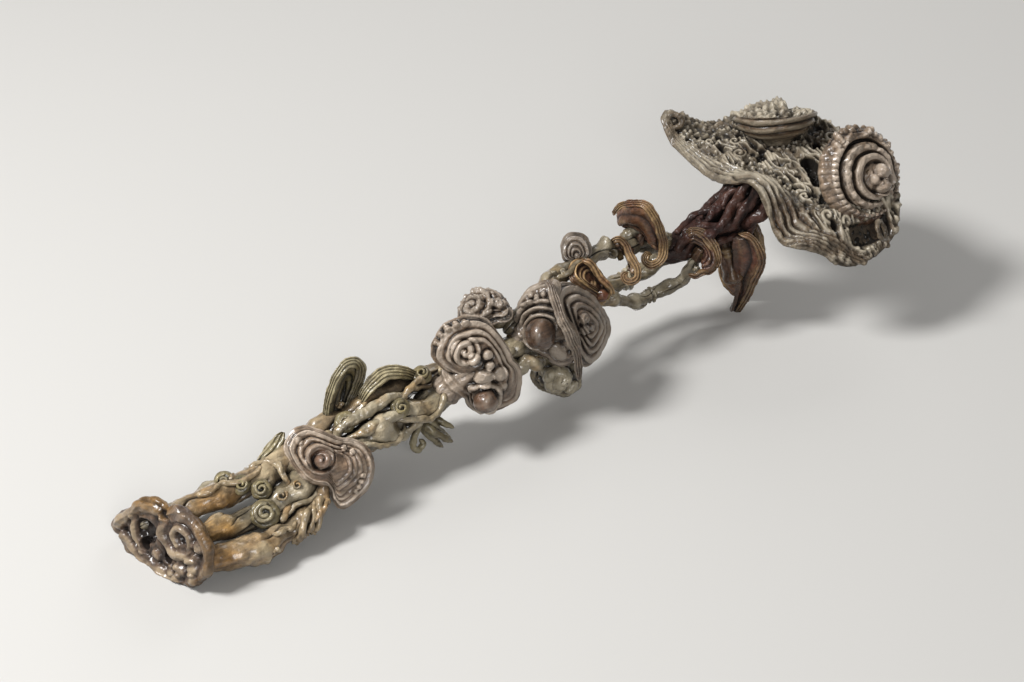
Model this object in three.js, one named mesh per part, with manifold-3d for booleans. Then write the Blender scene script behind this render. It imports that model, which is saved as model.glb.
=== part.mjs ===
// Bamboo ruyi scepter: strands of bamboo root bundled into a handle, hung with
// carved fungus caps, leaves and curls, with a tail plate and a cloud-shaped head.
// Millimetres, +Z up, +X from the tail to the head. The scepter lies as it rests:
// on the tail plate and on the two draped caps of the neck.
import * as THREE from 'three';
import { mergeVertices } from 'three/addons/utils/BufferGeometryUtils.js';
import Module from 'manifold-3d';

const wasm = await Module();
wasm.setup();

// Driving dimensions, in millimetres
const HANDLE_LENGTH = 300;
const STRAND_RADIUS = 5.5;
const FIT = 0.3;
const PEG_RADIUS = 1.5;
const PEG_END_COVER = 2;
const NECK_PEG_RISE = 0.9 * STRAND_RADIUS;
const STALK_SINK = 2;
const STALK_WAIST = 0.9;
const CAP_THICKNESS = 5;
const CAP_LIP = 2.4;
const CAP_RIDGE = 0.7;
const CAP_RIDGED_SHARE = 0.92;
const CURL_THICKNESS = 3;
const CURL_RIDGE = 0.6;
const LEAF_THICKNESS = 2.6;
const TAIL_WIDTH = 56;
const TAIL_HEIGHT = 33;
const TAIL_THICKNESS = 7;
const TAIL_HOLLOW_DEPTH = 5;
const TAIL_SEAT_SHARE = 0.8;
const TAIL_PEG_DEPTH = 3;
const TAIL_PEG_LENGTH = 16;
const HEAD_LENGTH = 70;
const HEAD_WIDTH = 110;
const HEAD_THICKNESS = 7;
const HEAD_RIDGE = 0.8;
const HEAD_ARCH = 9;
const HEAD_DRAPE = 17;
const HEAD_WING_RISE = 7;
const HEAD_CUSHION = 3;
const HEAD_PITCH = 0.12;
const HEAD_ROLL = 0.1;
const HEAD_HOLLOW_REACH = 14;
const BOSS_RADIUS = 19;
const BOSS_HEIGHT = 12;
const ROSETTE_RADIUS = 20;
const ROSETTE_HEIGHT = 9;

// Counts of facets
const STRAND_SIDES = 8;
const STEPS_PER_SPAN = 2;
const CAP_SEGMENTS = 14;
const STALK_SIDES = 6;
const LEAF_SIDES = 6;
const CURL_SEGMENTS = 8;
const PEG_SIDES = 6;
const HEAD_SEGMENTS = 30;
const TAIL_SEGMENTS = 22;
const TURNED_SEGMENTS = 16;
const BALL_SEGMENTS = 8;

const TAIL_X = -175;
const TABLE_SIZE = 2000;

const vec = (x, y, z) => new THREE.Vector3(x, y, z);
const ramp = (from, to, x) => THREE.MathUtils.smoothstep(x, from, to);
const bump = (x, middle, spread) => Math.exp(-(((x - middle) / spread) ** 2));

// A place on the handle: station 0 is the tail plate and 100 the foot of the neck
function at(station, y, z) {
  return vec(TAIL_X + (HANDLE_LENGTH * station) / 100, y, z);
}

const finishes = {
  bamboo: { color: 0x4a4036, roughness: 0.42 },
  worn: { color: 0x6b4a2a, roughness: 0.38 },
  cap: { color: 0x54443f, roughness: 0.45 },
  russet: { color: 0x4f2f26, roughness: 0.45 },
  leaf: { color: 0x4b4638, roughness: 0.5 },
  crust: { color: 0x5a5348, roughness: 0.62 },
  peg: { color: 0x7a6340, roughness: 0.6 },
};

const ruyi = new THREE.Group();
const placed = [];

// A closed three.js geometry as a solid for cutting and joining
function solid(geometry) {
  const bare = geometry.clone();
  bare.deleteAttribute('normal');
  bare.deleteAttribute('uv');
  const merged = mergeVertices(bare);
  const index = merged.index.array;
  const triangles = [];
  for (let i = 0; i < index.length; i += 3) {
    const [a, b, c] = index.slice(i, i + 3);
    if (a !== b && b !== c && c !== a) triangles.push(a, b, c);
  }
  const vertProperties = new Float32Array(merged.attributes.position.array);
  const triVerts = new Uint32Array(triangles);
  return new wasm.Manifold(new wasm.Mesh({ numProp: 3, vertProperties, triVerts }));
}

// Rings of points joined into one closed skin, from a first point to a last one
function loft(first, rings, last) {
  const sides = rings[0].length;
  const points = [first, ...rings.flat(), last];
  const end = points.length - 1;
  const corner = (ring, side) => 1 + ring * sides + (side % sides);
  const faces = [];
  for (let k = 0; k < sides; k++) {
    faces.push([0, corner(0, k + 1), corner(0, k)]);
    faces.push([end, corner(rings.length - 1, k), corner(rings.length - 1, k + 1)]);
    for (let r = 0; r + 1 < rings.length; r++) {
      faces.push([corner(r, k), corner(r, k + 1), corner(r + 1, k + 1)]);
      faces.push([corner(r, k), corner(r + 1, k + 1), corner(r + 1, k)]);
    }
  }
  const volume = faces.reduce((sum, [a, b, c]) => {
    return sum + points[a].dot(points[b].clone().cross(points[c]));
  }, 0);
  const outward = volume > 0 ? faces : faces.map(([a, b, c]) => [a, c, b]);
  const geometry = new THREE.BufferGeometry().setFromPoints(points);
  geometry.setIndex(outward.flat());
  return solid(geometry);
}

// A right-handed frame on a point: the normal, the way toward, and the way across
function frameOn(origin, normal, toward) {
  const up = vec(...normal).normalize();
  const front = vec(...toward).projectOnPlane(up).normalize();
  const across = up.clone().cross(front);
  const point = (a, b, h) => {
    return origin.clone().addScaledVector(front, a).addScaledVector(across, b).addScaledVector(up, h);
  };
  return { up, front, across, point };
}

// A rod of changing section along a curve. Each knot is [place, half width, half height].
function rod(knots, widthWay, sides, grow) {
  const curve = new THREE.CatmullRomCurve3(knots.map((knot) => knot[0]));
  const spans = knots.length - 1;
  const steps = STEPS_PER_SPAN * spans;
  const rings = [];
  for (let i = 0; i <= steps; i++) {
    const t = i / steps;
    const span = Math.min(Math.floor(t * spans), spans - 1);
    const blend = THREE.MathUtils.smoothstep(t * spans - span, 0, 1);
    const half = (n) => THREE.MathUtils.lerp(knots[span][n], knots[span + 1][n], blend) + grow;
    const tangent = curve.getTangent(t);
    const side = widthWay.clone().projectOnPlane(tangent).normalize();
    const rise = tangent.clone().cross(side);
    const centre = curve.getPoint(t);
    const ring = [];
    for (let k = 0; k < sides; k++) {
      const angle = (2 * Math.PI * k) / sides;
      const point = centre.clone().addScaledVector(side, Math.cos(angle) * half(1));
      ring.push(point.addScaledVector(rise, Math.sin(angle) * half(2)));
    }
    rings.push(ring);
  }
  const nose = (t, n, sign) => {
    const reach = sign * (Math.min(knots[n][1], knots[n][2]) / 2 + grow);
    return curve.getPoint(t).addScaledVector(curve.getTangent(t), reach);
  };
  return loft(nose(0, 0, -1), rings, nose(1, spans, 1));
}

// A straight round bar between two points
function bar(from, to, radius) {
  const geometry = new THREE.CylinderGeometry(radius, radius, from.distanceTo(to), PEG_SIDES);
  const way = to.clone().sub(from).normalize();
  geometry.applyQuaternion(new THREE.Quaternion().setFromUnitVectors(vec(0, 1, 0), way));
  const middle = from.clone().add(to).multiplyScalar(0.5);
  geometry.translate(middle.x, middle.y, middle.z);
  return solid(geometry);
}

// A ball
function ball(centre, radius) {
  const geometry = new THREE.SphereGeometry(radius, BALL_SEGMENTS, BALL_SEGMENTS - 2);
  geometry.translate(centre.x, centre.y, centre.z);
  return solid(geometry);
}

// A turned piece: a profile of [radius, height] pairs spun about the frame's normal
function turned(frame, profile, segments, grow) {
  const last = profile.length - 1;
  const points = profile.map(([radius, height], i) => {
    const lift = i === 0 ? -grow : i === last ? grow : 0;
    return new THREE.Vector2(radius > 0 ? radius + grow : 0, height + lift);
  });
  const geometry = new THREE.LatheGeometry(points, segments);
  const turn = new THREE.Matrix4().makeBasis(frame.across, frame.up, frame.front);
  turn.setPosition(frame.point(0, 0, 0));
  geometry.applyMatrix4(turn);
  return solid(geometry);
}

// Keeps the main body of a cut piece and drops the crumbs
function mainBody(piece) {
  return piece.decompose().reduce((best, part) => (part.volume() > best.volume() ? part : best));
}

function near(a, b) {
  const one = a.boundingBox();
  const two = b.boundingBox();
  return [0, 1, 2].every((i) => one.min[i] < two.max[i] && two.min[i] < one.max[i]);
}

// The table under the scepter: it trims the feet to flat lands
const table = solid(
  new THREE.BoxGeometry(TABLE_SIZE, TABLE_SIZE, TABLE_SIZE).translate(0, 0, -TABLE_SIZE / 2),
);

// Adds a piece: whatever is in place already is cut out of it, with the fit all round
function place(name, finish, make) {
  let piece = make(0);
  for (const other of placed) {
    if (near(piece, other)) piece = piece.subtract(other);
  }
  piece = mainBody(piece.subtract(table));
  placed.push(make(FIT));
  const { vertProperties, triVerts } = piece.getMesh();
  const geometry = new THREE.BufferGeometry();
  geometry.setAttribute('position', new THREE.BufferAttribute(vertProperties, 3));
  geometry.setIndex(new THREE.BufferAttribute(triVerts, 1));
  const { color, roughness } = finishes[finish];
  const material = new THREE.MeshStandardMaterial({ color, roughness, metalness: 0 });
  const mesh = new THREE.Mesh(geometry, material);
  mesh.name = name;
  ruyi.add(mesh);
}

// The tail plate: an upright leaf with carved hollows across the ends of the strands
const tailFrame = frameOn(at(-0.8, 0, 14.7), [-0.95, -0.22, 0.2], [0.22, -0.97, 0]);
const TAIL_OUTLINE = [
  [-0.52, -0.24], [-0.43, -0.4], [-0.2, -0.48], [0.02, -0.52], [0.3, -0.42], [0.46, -0.2], [0.48, 0.05],
  [0.43, 0.29], [0.36, 0.48], [0.18, 0.5], [0.04, 0.48], [-0.2, 0.36], [-0.32, 0.21], [-0.43, 0],
];
// Hollows of the tail plate: [across, up, radius]
const tailHollows = [[-0.14, 0.12, 4.6], [-0.2, -0.21, 2.3], [0.04, -0.12, 2]];

// Rings of the plate from the middle of its face round to its back: [share of the
// outline, share of the thickness]
const tailProfile = [[0.3, 0], [0.6, -0.06], [0.8, 0], [0.94, 0.07], [1, -0.2], [1, -0.8], [0.9, -1]];

function tailPlate(grow) {
  const outline = new THREE.SplineCurve(
    [...TAIL_OUTLINE, TAIL_OUTLINE[0]].map(([a, b]) => new THREE.Vector2(a * TAIL_WIDTH, b * TAIL_HEIGHT)),
  );
  const edge = outline.getPoints(TAIL_SEGMENTS).slice(0, TAIL_SEGMENTS);
  const rings = tailProfile.map(([share, height]) => edge.map((point) => {
    const reach = point.clone().multiplyScalar(share).add(point.clone().setLength(grow));
    const lift = height > -0.1 ? grow : -grow;
    return tailFrame.point(reach.x, reach.y, height * TAIL_THICKNESS + lift);
  }));
  let plate = loft(tailFrame.point(0, 0, grow), rings, tailFrame.point(0, 0, -TAIL_THICKNESS - grow));
  for (const [a, b, radius] of tailHollows) {
    const mouth = tailFrame.point(a * TAIL_WIDTH, b * TAIL_HEIGHT, TAIL_THICKNESS);
    const end = tailFrame.point(a * TAIL_WIDTH, b * TAIL_HEIGHT, -TAIL_HOLLOW_DEPTH);
    plate = plate.subtract(bar(mouth, end, radius - grow));
  }
  return plate;
}

// Strands: [station, y, z, swell], where the swell multiplies the strand's radius.
// Those of the handle start in the tail plate, at the place that tailSeats gives.
const strands = {
  near_strand: [[5, -22, 11.2, 1.15], [9, -22, 9.4, 1.35], [12.5, -22, 9, 1.25], [15, -21, 9.2, 0.95],
    [18, -20, 10.5, 1.15], [20.5, -19, 14, 0.85], [22, -17.5, 20, 0.7], [22.6, -16, 25, 0.7]],
  core_strand: [[5, -9, 16, 1.05], [10, -9, 14.5, 1.05], [16, -8, 15.5, 1.25], [22, -7, 18.5, 1.4],
    [29, -5, 24, 1.4], [36, -5, 27, 1.3], [42, -4, 28, 1.35], [48, -2, 30, 1.4], [55, 0, 33, 1.4],
    [61, 1, 35, 1.4], [67, 2, 37, 1.3], [73, 4, 39, 1.05], [78, 5, 37, 0.9]],
  upper_strand: [[5, 4, 21.5, 1.15], [10.5, 4, 20.5, 1.3], [16, 4, 20.5, 1.25], [22, 6, 22, 1.4],
    [28, 8, 27, 1.4], [33, 8, 31, 1.25], [38, 8, 33, 1.4], [44, 7, 33, 1.2], [49, 6, 36, 0.9]],
  far_strand: [[8, 16, 10, 1.15], [16, 15, 12, 1.05], [24, 14, 17, 1.15], [32, 15, 22, 1.1],
    [40, 14, 26, 1], [47, 11, 28, 0.85]],
  neck: [[89, 9, 43, 1], [94, 8, 46, 1.4], [98.5, 5, 50, 1.6], [101.5, 2, 55, 1.65],
    [103, 0, 60, 1.6], [104, -1, 64.5, 1.55]],
  upper_branch: [[58, 4, 42, 1], [64, 7, 48, 1.15], [70, 11, 53, 0.95], [75, 13, 56, 0.9],
    [80, 13, 56, 0.8], [85, 12, 52, 0.85], [91, 10, 49, 1]],
  lower_branch: [[74, 3, 39, 0.9], [78, 3, 36, 0.8], [84, 5, 27, 0.75], [88, 5, 27, 0.85],
    [91.3, 3, 30, 0.9], [92.3, 0, 37, 0.8], [92.8, -3, 46, 0.7]],
  far_branch: [[64, 8, 33, 0.9], [71, 14, 34, 0.85], [78, 18, 31, 0.8], [86, 18, 31, 0.9],
    [92, 13, 40, 0.95]],
};

// Seats of the strands on the tail plate: across and up from its middle, and the swell
const tailSeats = {
  near_strand: [21, -2, 0.95], core_strand: [9, 2, 0.95],
  upper_strand: [-1, 9, 0.95], far_strand: [-16, -3, 0.95],
};

const strandKnots = {};
const strandCurves = {};
for (const [name, points] of Object.entries(strands)) {
  const round = (place, swell) => [place, swell * STRAND_RADIUS, swell * STRAND_RADIUS];
  const knots = points.map(([station, y, z, swell]) => round(at(station, y, z), swell));
  if (tailSeats[name]) {
    const [across, up, swell] = tailSeats[name];
    knots.unshift(round(tailFrame.point(across, up, -TAIL_SEAT_SHARE * TAIL_THICKNESS), swell));
  }
  strandKnots[name] = knots;
  strandCurves[name] = new THREE.CatmullRomCurve3(knots.map((knot) => knot[0]));
}

// A place on a strand, counted in knots from its start
function on([strand, knot]) {
  return strandCurves[strand].getPoint(knot / (strandKnots[strand].length - 1));
}

// Carved fungus caps. hub is [station, y, z]; normal faces out of the ringed top and
// toward points from the hub to the broad edge; front, back and side are the reaches
// of the edge from the hub; droop bends the edge down along and across; root is the
// strand, and the knot of it, that the stalk grows from; stalk is its two radii.
const caps = [
  { name: 'lower_cap', finish: 'cap', hub: [22, -16, 32.5], normal: [-0.25, -0.86, 0.45],
    toward: [0.66, -0.49, -0.56], front: 26, back: 9, side: 15, crown: 3, knob: 3.5, rings: 3,
    droop: [0.006, 0.008], root: ['near_strand', 7.4], stalk: [3, 4] },
  { name: 'middle_cap', finish: 'cap', hub: [49.5, -12, 45.5], normal: [-0.3, -0.9, 0.3],
    toward: [0.55, -0.42, -0.72], front: 31, back: 18, side: 18, crown: 4, knob: 2, rings: 3,
    droop: [0.006, 0.01], root: ['core_strand', 7.5], stalk: [7, 5.5],
    balls: [[17, -9, 5.5], [8, 5, 2.4], [11, 0, 2.4]] },
  { name: 'back_cap', finish: 'cap', hub: [56, 9, 55], normal: [-0.3, -0.1, 0.95],
    toward: [-0.4, 0.86, 0.1], front: 13, back: 10, side: 11, crown: 3, knob: 2, rings: 2,
    droop: [0.012, 0.012], root: ['core_strand', 8.7], stalk: [4, 3.5] },
  { name: 'ball_cap', finish: 'cap', hub: [62, -6, 54], normal: [-0.76, -0.41, 0.51],
    toward: [0.22, -0.9, -0.39], front: 19, back: 11, side: 15, crown: 5, knob: 1, rings: 2,
    droop: [0.012, 0.012], root: ['core_strand', 9.7], stalk: [5, 5], balls: [[7, -2, 7.5]] },
  { name: 'spiral_cap', finish: 'cap', hub: [68.5, -12, 45], normal: [0.25, -0.9, 0.35],
    toward: [0.2, -0.31, -0.93], front: 26, back: 21, side: 17, crown: 4, knob: 2, rings: 3,
    droop: [0.006, 0.01], root: ['core_strand', 10.9], stalk: [4.5, 4.5] },
  { name: 'hanging_cap', finish: 'russet', hub: [65.5, -9, 19], normal: [-0.21, -0.93, 0.31],
    toward: [0.71, -0.36, -0.61], front: 17, back: 13, side: 13, crown: 3, knob: 3, rings: 2,
    droop: [0.01, 0.01], root: ['core_strand', 10.3], stalk: [4.5, 4] },
  { name: 'small_fan_cap', finish: 'cap', hub: [74, 15, 62], normal: [-0.61, -0.61, 0.51],
    toward: [-0.2, 0.3, 0.9], front: 9, back: 7, side: 8, crown: 2, knob: 1, rings: 1,
    droop: [0.01, 0.01], root: ['upper_branch', 3], stalk: [3, 2.6] },
  { name: 'folded_cap', finish: 'russet', hub: [74.5, 3, 52], normal: [0.2, -0.84, 0.5],
    toward: [0.56, -0.32, -0.76], front: 14, back: 10, side: 9, crown: 2, knob: 0, rings: 1,
    droop: [0.02, -0.02], root: ['core_strand', 12], stalk: [3.6, 3.4] },
  { name: 'curled_cap', finish: 'russet', hub: [81, 5, 53], normal: [0.75, -0.1, 0.5],
    toward: [-0.35, -0.4, 0.85], front: 15, back: 13, side: 12, crown: 3, knob: 0, rings: 1,
    droop: [0.02, 0.02], root: ['upper_branch', 4.2], stalk: [3, 3] },
  { name: 'upright_cap', finish: 'russet', hub: [86, 12, 61], normal: [0.82, 0.3, 0.32],
    toward: [-0.2, 0, 1], front: 18, back: 13, side: 15, crown: 3, knob: 0, rings: 1,
    droop: [0.016, 0.014], root: ['upper_branch', 5], stalk: [4, 4] },
  { name: 'ridged_cap', finish: 'russet', hub: [94, -6, 50], normal: [0.8, 0.15, 0.45],
    toward: [-0.3, -0.3, 0.9], front: 13, back: 12, side: 10, crown: 3, knob: 0, rings: 1,
    droop: [0.02, 0.016], root: ['lower_branch', 5.6], stalk: [3.2, 3.6] },
  { name: 'neck_cap', finish: 'russet', hub: [101.4, -11, 36], normal: [0.94, 0.22, 0.15],
    toward: [0, 0.28, -1], front: 39.5, back: 14, side: 12, crown: 3, knob: 0, rings: 1,
    droop: [0.004, 0.02], root: ['neck', 2.3], stalk: [5, 5] },
  { name: 'far_neck_cap', finish: 'russet', hub: [106, 9, 34], normal: [0.9, 0.3, 0.1],
    toward: [0.1, 0.1, -1], front: 36, back: 12, side: 11, crown: 3, knob: 0, rings: 1,
    droop: [0.003, 0.02], root: ['neck', 3], stalk: [5, 5] },
];

// Snail curls glued to the strands
const curls = [
  { name: 'scroll_curl', hub: [13, -15, 19], normal: [-0.3, -0.6, 0.75], radius: 6.8,
    root: ['core_strand', 2.5] },
  { name: 'snail_curl_1', hub: [9.5, 6, 27], normal: [-0.4, -0.4, 0.8], radius: 3.6,
    root: ['upper_strand', 1.8] },
  { name: 'snail_curl_2', hub: [12, 1, 26.5], normal: [-0.2, -0.5, 0.85], radius: 3.2,
    root: ['upper_strand', 2.3] },
  { name: 'snail_curl_3', hub: [15, -2, 25], normal: [-0.3, -0.4, 0.85], radius: 3.8,
    root: ['upper_strand', 2.8] },
  { name: 'crescent_curl', hub: [29, 1, 35], normal: [-0.3, -0.5, 0.8], radius: 4.6,
    root: ['upper_strand', 5.2] },
  { name: 'side_curl', hub: [37.5, -9, 34], normal: [-0.2, -0.75, 0.6], radius: 4,
    root: ['core_strand', 6.25] },
  { name: 'top_curl', hub: [43, 3, 40], normal: [-0.2, -0.3, 0.9], radius: 4.4,
    root: ['upper_strand', 7.8] },
];

// Leaves: bands along a path of [station, y, z, half width], wide across the handle
const leaves = {
  tall_leaf: [[25.5, 9, 31, 4], [27.5, 9, 40, 5.5], [30, 10, 49, 6.5], [34, 10, 53, 7],
    [36.5, 10, 49, 7], [36, 10, 42, 6], [34.5, 9, 36, 4.5]],
  arched_leaf: [[31.5, 3, 36, 4], [35, 4, 41, 5.5], [39.5, 5, 44, 6.5], [43, 5, 42.5, 5.5],
    [46.5, 3, 37, 4]],
  pointed_leaf: [[15.5, 9, 25, 4], [17.5, 11, 30, 6], [20.5, 12, 34, 5], [24, 12, 40, 2]],
};

// A tuft of rootlets under the handle, each on a path of [station, y, z, radius]
const rootlets = [
  [[41, -7, 22, 3.4], [43, -12, 19, 3], [46, -15, 16, 1.8]],
  [[41, -7, 22, 3.4], [42, -13, 22, 2.6], [44.5, -17, 23, 1.5]],
  [[41, -7, 22, 3.4], [41, -12, 16, 2.4], [42.5, -14, 11, 1.4]],
];

// The head frame: its middle stands off the top of the neck
const NECK_TOP = on(['neck', 5]);
const HEAD_MIDDLE = NECK_TOP.clone().add(vec(25, 3, 5.5));
const HEAD_OUTLINE = [
  [-0.44, 0.5], [-0.49, 0.27], [-0.49, 0], [-0.47, -0.2], [-0.4, -0.38], [-0.17, -0.48],
  [0.11, -0.48], [0.39, -0.4], [0.5, -0.18], [0.5, 0.04], [0.36, 0.25], [0.03, 0.43], [-0.29, 0.51],
];

// Height of the head's upper face over its middle: tilted, arched over the neck, draped
// on the right, raised at the left wing tip and under the boss
function headHeight(x, y) {
  const u = x / HEAD_LENGTH;
  const v = y / HEAD_WIDTH;
  const arch = HEAD_ARCH * bump(v, -0.1, 0.12) * ramp(0.11, 0.49, -u);
  const rightDrape = HEAD_DRAPE * ramp(0.31, 0.49, -v);
  const leftDrape = 0.3 * HEAD_DRAPE * ramp(0.35, 0.51, v) * ramp(-0.28, 0, u);
  const wingTip = HEAD_WING_RISE * ramp(0.38, 0.51, v) * ramp(0.14, 0.43, -u);
  const cushion = HEAD_CUSHION * bump(v, 0.17, 0.16) * bump(u, 0.1, 0.3);
  return HEAD_PITCH * x + HEAD_ROLL * y + arch - rightDrape - leftDrape + wingTip + cushion;
}

function headPoint(x, y, lift) {
  return HEAD_MIDDLE.clone().add(vec(x, y, headHeight(x, y) + lift));
}

// Rings of the head from the middle of its top round to its underside: [share of the
// outline, share of the thickness, share of a ridge]
const headProfile = [
  [0.15, 0, 0], [0.35, 0, 0], [0.55, 0, 0], [0.7, 0, 0], [0.76, 0, 1], [0.82, 0, -1], [0.88, 0, 1],
  [0.94, 0, -1], [1, -0.25, 0], [0.99, -0.7, 0], [0.9, -1, 0], [0.5, -1, 0],
];

// The cloud-shaped plate, with ridges along its rim
function headPlate(grow) {
  const outline = new THREE.SplineCurve(
    [...HEAD_OUTLINE, HEAD_OUTLINE[0]].map(([x, y]) => new THREE.Vector2(x * HEAD_LENGTH, y * HEAD_WIDTH)),
  );
  const edge = outline.getPoints(HEAD_SEGMENTS).slice(0, HEAD_SEGMENTS);
  const rings = headProfile.map(([share, height, ridge]) => edge.map((point) => {
    const reach = point.clone().multiplyScalar(share).add(point.clone().setLength(grow));
    const lift = height === 0 ? grow : height === -1 ? -grow : 0;
    return headPoint(reach.x, reach.y, height * HEAD_THICKNESS + ridge * HEAD_RIDGE + lift);
  }));
  return loft(headPoint(0, 0, grow), rings, headPoint(0, 0, -HEAD_THICKNESS - grow));
}

// Holes through the head plate: [along, across, radius]; those of the drape lean out
const headHollows = [
  [0.04, -0.115, 4.2], [-0.12, 0.1, 2.8], [-0.08, -0.2, 2.6], [0.02, -0.43, 4.2], [0.22, -0.43, 3.4],
];

function piercedHeadPlate(grow) {
  let plate = headPlate(grow);
  for (const [x, y, radius] of headHollows) {
    const [px, py] = [x * HEAD_LENGTH, y * HEAD_WIDTH];
    const slope = vec(0, y < -0.4 ? -HEAD_HOLLOW_REACH : 0, HEAD_HOLLOW_REACH);
    const middle = headPoint(px, py, -HEAD_THICKNESS / 2);
    plate = plate.subtract(bar(middle.clone().sub(slope), middle.clone().add(slope), radius - grow));
  }
  return plate;
}

// The boss: a shallow bowl with a crusted top
const bossFoot = headPoint(0.11 * HEAD_LENGTH, 0.175 * HEAD_WIDTH, -1);
const bossFrame = frameOn(bossFoot, [0.24, 0.33, 0.91], [1, 0, 0]);
const bossProfile = [
  [0, -0.4 * BOSS_HEIGHT], [0.6 * BOSS_RADIUS, -0.4 * BOSS_HEIGHT], [0.66 * BOSS_RADIUS, -0.1 * BOSS_HEIGHT],
  [0.82 * BOSS_RADIUS, 0.12 * BOSS_HEIGHT], [0.91 * BOSS_RADIUS, 0.4 * BOSS_HEIGHT],
  [0.96 * BOSS_RADIUS, 0.56 * BOSS_HEIGHT], [0.95 * BOSS_RADIUS, 0.64 * BOSS_HEIGHT],
  [BOSS_RADIUS, 0.8 * BOSS_HEIGHT], [0.93 * BOSS_RADIUS, 0.95 * BOSS_HEIGHT],
  [0.6 * BOSS_RADIUS, 1.15 * BOSS_HEIGHT], [0, 1.22 * BOSS_HEIGHT],
];

// The rosette: a ringed disc that leans out of the right side of the head
const rosetteFoot = headPoint(0.23 * HEAD_LENGTH, -0.275 * HEAD_WIDTH, 6);
const rosetteFrame = frameOn(rosetteFoot, [0.05, -0.85, 0.52], [1, 0, 0]);
const rosetteProfile = [
  [0, -0.5 * ROSETTE_HEIGHT], [0.7 * ROSETTE_RADIUS, -0.5 * ROSETTE_HEIGHT],
  [ROSETTE_RADIUS, 0], [ROSETTE_RADIUS, 0.3 * ROSETTE_HEIGHT],
  [0.9 * ROSETTE_RADIUS, 0.5 * ROSETTE_HEIGHT], [0.78 * ROSETTE_RADIUS, 0.35 * ROSETTE_HEIGHT],
  [0.68 * ROSETTE_RADIUS, 0.65 * ROSETTE_HEIGHT], [0.55 * ROSETTE_RADIUS, 0.5 * ROSETTE_HEIGHT],
  [0.42 * ROSETTE_RADIUS, 0.85 * ROSETTE_HEIGHT], [0.3 * ROSETTE_RADIUS, 0.75 * ROSETTE_HEIGHT],
  [0.18 * ROSETTE_RADIUS, 1.15 * ROSETTE_HEIGHT], [0, 1.2 * ROSETTE_HEIGHT],
];

const capFrame = (cap) => frameOn(at(...cap.hub), cap.normal, cap.toward);

// The stalk of a cap, from the middle of its strand up to the cap's underside
function stalkOf(cap, grow) {
  const root = on(cap.root);
  const top = capFrame(cap).point(0, 0, -STALK_SINK);
  const [foot, head] = cap.stalk;
  const waist = root.clone().lerp(top, 0.5);
  const middle = (STALK_WAIST * (foot + head)) / 2;
  const knots = [[root, foot, foot], [waist, middle, middle], [top, head, head]];
  const way = top.clone().sub(root);
  const widthWay = Math.abs(way.z) > Math.abs(way.x) ? vec(1, 0, 0) : vec(0, 0, 1);
  return rod(knots, widthWay, STALK_SIDES, grow);
}

// A ringed fan round a hub: ridges outward on top, a lip, and a hollowed underside
function fan(frame, shape, segments, grow) {
  const { front, back, side, crown, knob, rings, thickness, lip, ridge, droop } = shape;
  const point = (share, height, spread, angle) => {
    const reach = Math.cos(angle) > 0 ? front : back;
    const a = (share * reach + spread) * Math.cos(angle);
    const b = (share * side + spread) * Math.sin(angle);
    return frame.point(a, b, height - droop[0] * a * a - droop[1] * b * b);
  };
  const ring = (share, height, spread) => {
    return Array.from({ length: segments }, (_, k) => {
      return point(share, height, spread, (2 * Math.PI * k) / segments);
    });
  };
  const top = (share) => crown * (1 - share * share) + knob * bump(share, 0, 0.2);
  const stack = [];
  for (let i = 1; i <= 2 * rings; i++) {
    const share = (CAP_RIDGED_SHARE * i) / (2 * rings);
    stack.push(ring(share, top(share) + (i % 2 ? -ridge : ridge) + grow, 0));
  }
  stack.push(ring(1, 0, grow));
  stack.push(ring(0.98, -lip - grow, grow));
  stack.push(ring(0.7, -0.7 * thickness - grow, 0));
  stack.push(ring(0.3, -thickness - grow, 0));
  return loft(point(0, top(0) + grow, 0, 0), stack, point(0, -thickness - grow, 0, 0));
}

function fungusCap(cap, grow) {
  const frame = capFrame(cap);
  const shape = { ...cap, thickness: CAP_THICKNESS, lip: CAP_LIP, ridge: CAP_RIDGE };
  let piece = fan(frame, shape, CAP_SEGMENTS, grow).add(stalkOf(cap, grow));
  for (const [a, b, radius] of cap.balls ?? []) {
    const sink = cap.droop[0] * a * a + cap.droop[1] * b * b;
    piece = piece.add(ball(frame.point(a, b, 1 - sink), radius + grow));
  }
  return piece;
}

function snailCurl(curl, grow) {
  const hub = at(...curl.hub);
  const frame = frameOn(hub, curl.normal, [1, 0, 0]);
  const shape = {
    front: curl.radius, back: curl.radius, side: curl.radius, crown: 1, knob: 1, rings: 1,
    thickness: CURL_THICKNESS, lip: CURL_THICKNESS / 2, ridge: CURL_RIDGE, droop: [0, 0],
  };
  const stem = bar(on(curl.root), frame.point(0, 0, -CURL_THICKNESS / 2), 0.5 * curl.radius + grow);
  return fan(frame, shape, CURL_SEGMENTS, grow).add(stem);
}

// Pegs: hidden dowels, each across one joint
const pegs = {};
for (const strand of Object.keys(tailSeats)) {
  const seat = on([strand, 0]);
  const way = strandCurves[strand].getTangent(0);
  const from = seat.clone().addScaledVector(way, -TAIL_PEG_DEPTH);
  pegs[`${strand}_tail_peg`] = [from, from.clone().addScaledVector(way, TAIL_PEG_LENGTH)];
}
const unpegged = ['small_fan_cap', 'folded_cap', 'back_cap'];
for (const cap of caps.filter((one) => !unpegged.includes(one.name))) {
  const root = on(cap.root);
  const hub = capFrame(cap).point(0, 0, -STALK_SINK);
  const way = hub.clone().sub(root);
  pegs[`${cap.name}_peg`] = [root, hub.addScaledVector(way.normalize(), -PEG_END_COVER)];
}
pegs.near_core_peg = [on(['near_strand', 5]), on(['core_strand', 3.4])];
pegs.core_upper_peg = [on(['core_strand', 5.6]), on(['upper_strand', 6])];
pegs.far_upper_peg = [on(['far_strand', 3.6]), on(['upper_strand', 5.2])];
pegs.upper_branch_peg = [on(['core_strand', 9.3]), on(['upper_branch', 0.4])];
pegs.lower_branch_peg = [on(['lower_branch', 0.1]), on(['lower_branch', 1.8])];
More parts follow.
